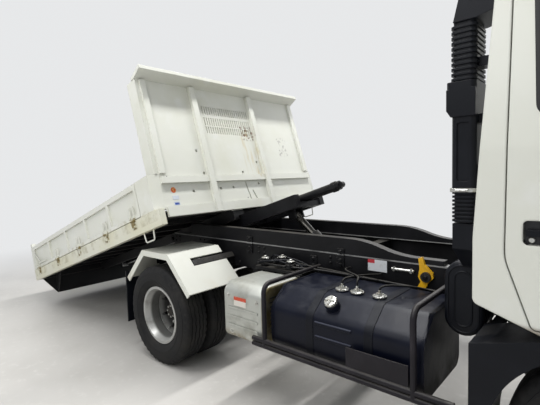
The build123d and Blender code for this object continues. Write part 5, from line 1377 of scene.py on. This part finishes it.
def swollen(pad, cap):
    """Blows the pad up like a bag and keeps as much of the swelling as the cap allows."""
    before = [v.co.copy() for v in pad.data.vertices]
    bag = pad.modifiers.new("bag", "CLOTH")
    bag.settings.use_pressure = True
    bag.settings.uniform_pressure_force = BAG_PRESSURE
    bag.settings.quality = 4
    bag.settings.effector_weights.gravity = 0
    bag.point_cache.frame_end = BAG_STEPS
    for step in range(1, BAG_STEPS + 1):
        scene.frame_set(step)
    after = [v.co.copy() for v in evaluated(pad).to_mesh().vertices]
    pad.modifiers.remove(bag)
    scene.frame_set(1)
    largest = max((new - old).length for new, old in zip(after, before))
    share = min(1.0, cap / largest)
    for vertex, old, new in zip(pad.data.vertices, before, after):
        vertex.co = old + (new - old) * share
    return largest * share


def cushion(name, low, high, seams, lean=0.0, cap=0.014):
    """A cushion between two corners of the truck. Seams are places across it; lean tips its top back."""
    size = Vector(high) - Vector(low)
    middle = (Vector(low) + Vector(high)) / 2
    points, faces = block(middle, size - MARGIN, min(size) * 0.30)
    mesh = bpy.data.meshes.new(name)
    mesh.from_pydata([tuple(on_truck(*p)) for p in points], [], faces)
    pad = in_scene(name, mesh)
    even = pad.modifiers.new("even", "REMESH")
    even.mode = "VOXEL"
    even.voxel_size = 0.010
    pad.modifiers.new("soft", "SMOOTH").iterations = 6
    pad.data = bpy.data.meshes.new_from_object(evaluated(pad))
    pad.modifiers.clear()
    grown = swollen(pad, cap)
    for vertex in pad.data.vertices:
        y = vertex.co.y
        for seam in seams:
            pull = SEAM_DEPTH * math.exp(-((y - seam) / SEAM_WIDTH) ** 2)
            vertex.co += (on_truck(*middle) - vertex.co).normalized() * pull
        vertex.co.x += lean * (vertex.co.z - low[2]) / size.z
    pad.data.shade_smooth()
    pad.data.materials.append(seat_cloth)
    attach(pad, "cab")
    print(name, "swelled by", round(grown, 4))
    return pad


print("a bag takes", BAG_STEPS, "steps to fill")

# %% [markdown]
# The seats are a cushion and a back each, on a moulded plinth, with head rests on plated posts.
# The solid has them as plain blocks, which these pieces stand in for.

# %% Seats and head rests
# Name, its right and left side, and its seams
seats = [
    ("driver_seat", -0.760, -0.260, (-0.640, -0.380)),
    ("bench", -0.150, 0.800, (0.060, 0.325, 0.590)),
]
seat_pieces, plinth_shapes, post_shapes = [], [], []
for name, low, high, seams in seats:
    seat_pieces.append(cushion(f"{name}_cushion", (2.640, low, 1.272), (3.118, high, 1.398), seams))
    seat_pieces.append(cushion(f"{name}_back", (2.500, low + 0.01, 1.400), (2.636, high - 0.01, 1.860),
                               seams, lean=-0.030))
    plinth_at = on_truck(2.88, (low + high) / 2, 1.15)
    plinth_shapes.append(block(plinth_at, (0.36, high - low - 0.12, 0.238), 0.012))
for name, middle_y in (("driver_rest", -0.510), ("bench_rest_inner", 0.100), ("bench_rest_outer", 0.560)):
    low, high = (2.490, middle_y - 0.14, 1.895), (2.585, middle_y + 0.14, 2.045)
    seat_pieces.append(cushion(name, low, high, (), cap=0.010))
    for dy in (-0.05, 0.05):
        post_shapes.append(turned([(0, 0.006), (0.12, 0.006)], on_truck(2.535, middle_y + dy, 1.80), UP, 10))
seat_pieces.append(fitted("seat_plinths", plinth_shapes, moulded_black, "cab"))
seat_pieces.append(fitted("rest_posts", post_shapes, zinc_plate, "cab"))
for piece in seat_pieces:
    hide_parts("seats")
print("seats fitted", len(seat_pieces))

# %% [markdown]
# The dressed truck may stand out of the solids by a few millimetres.
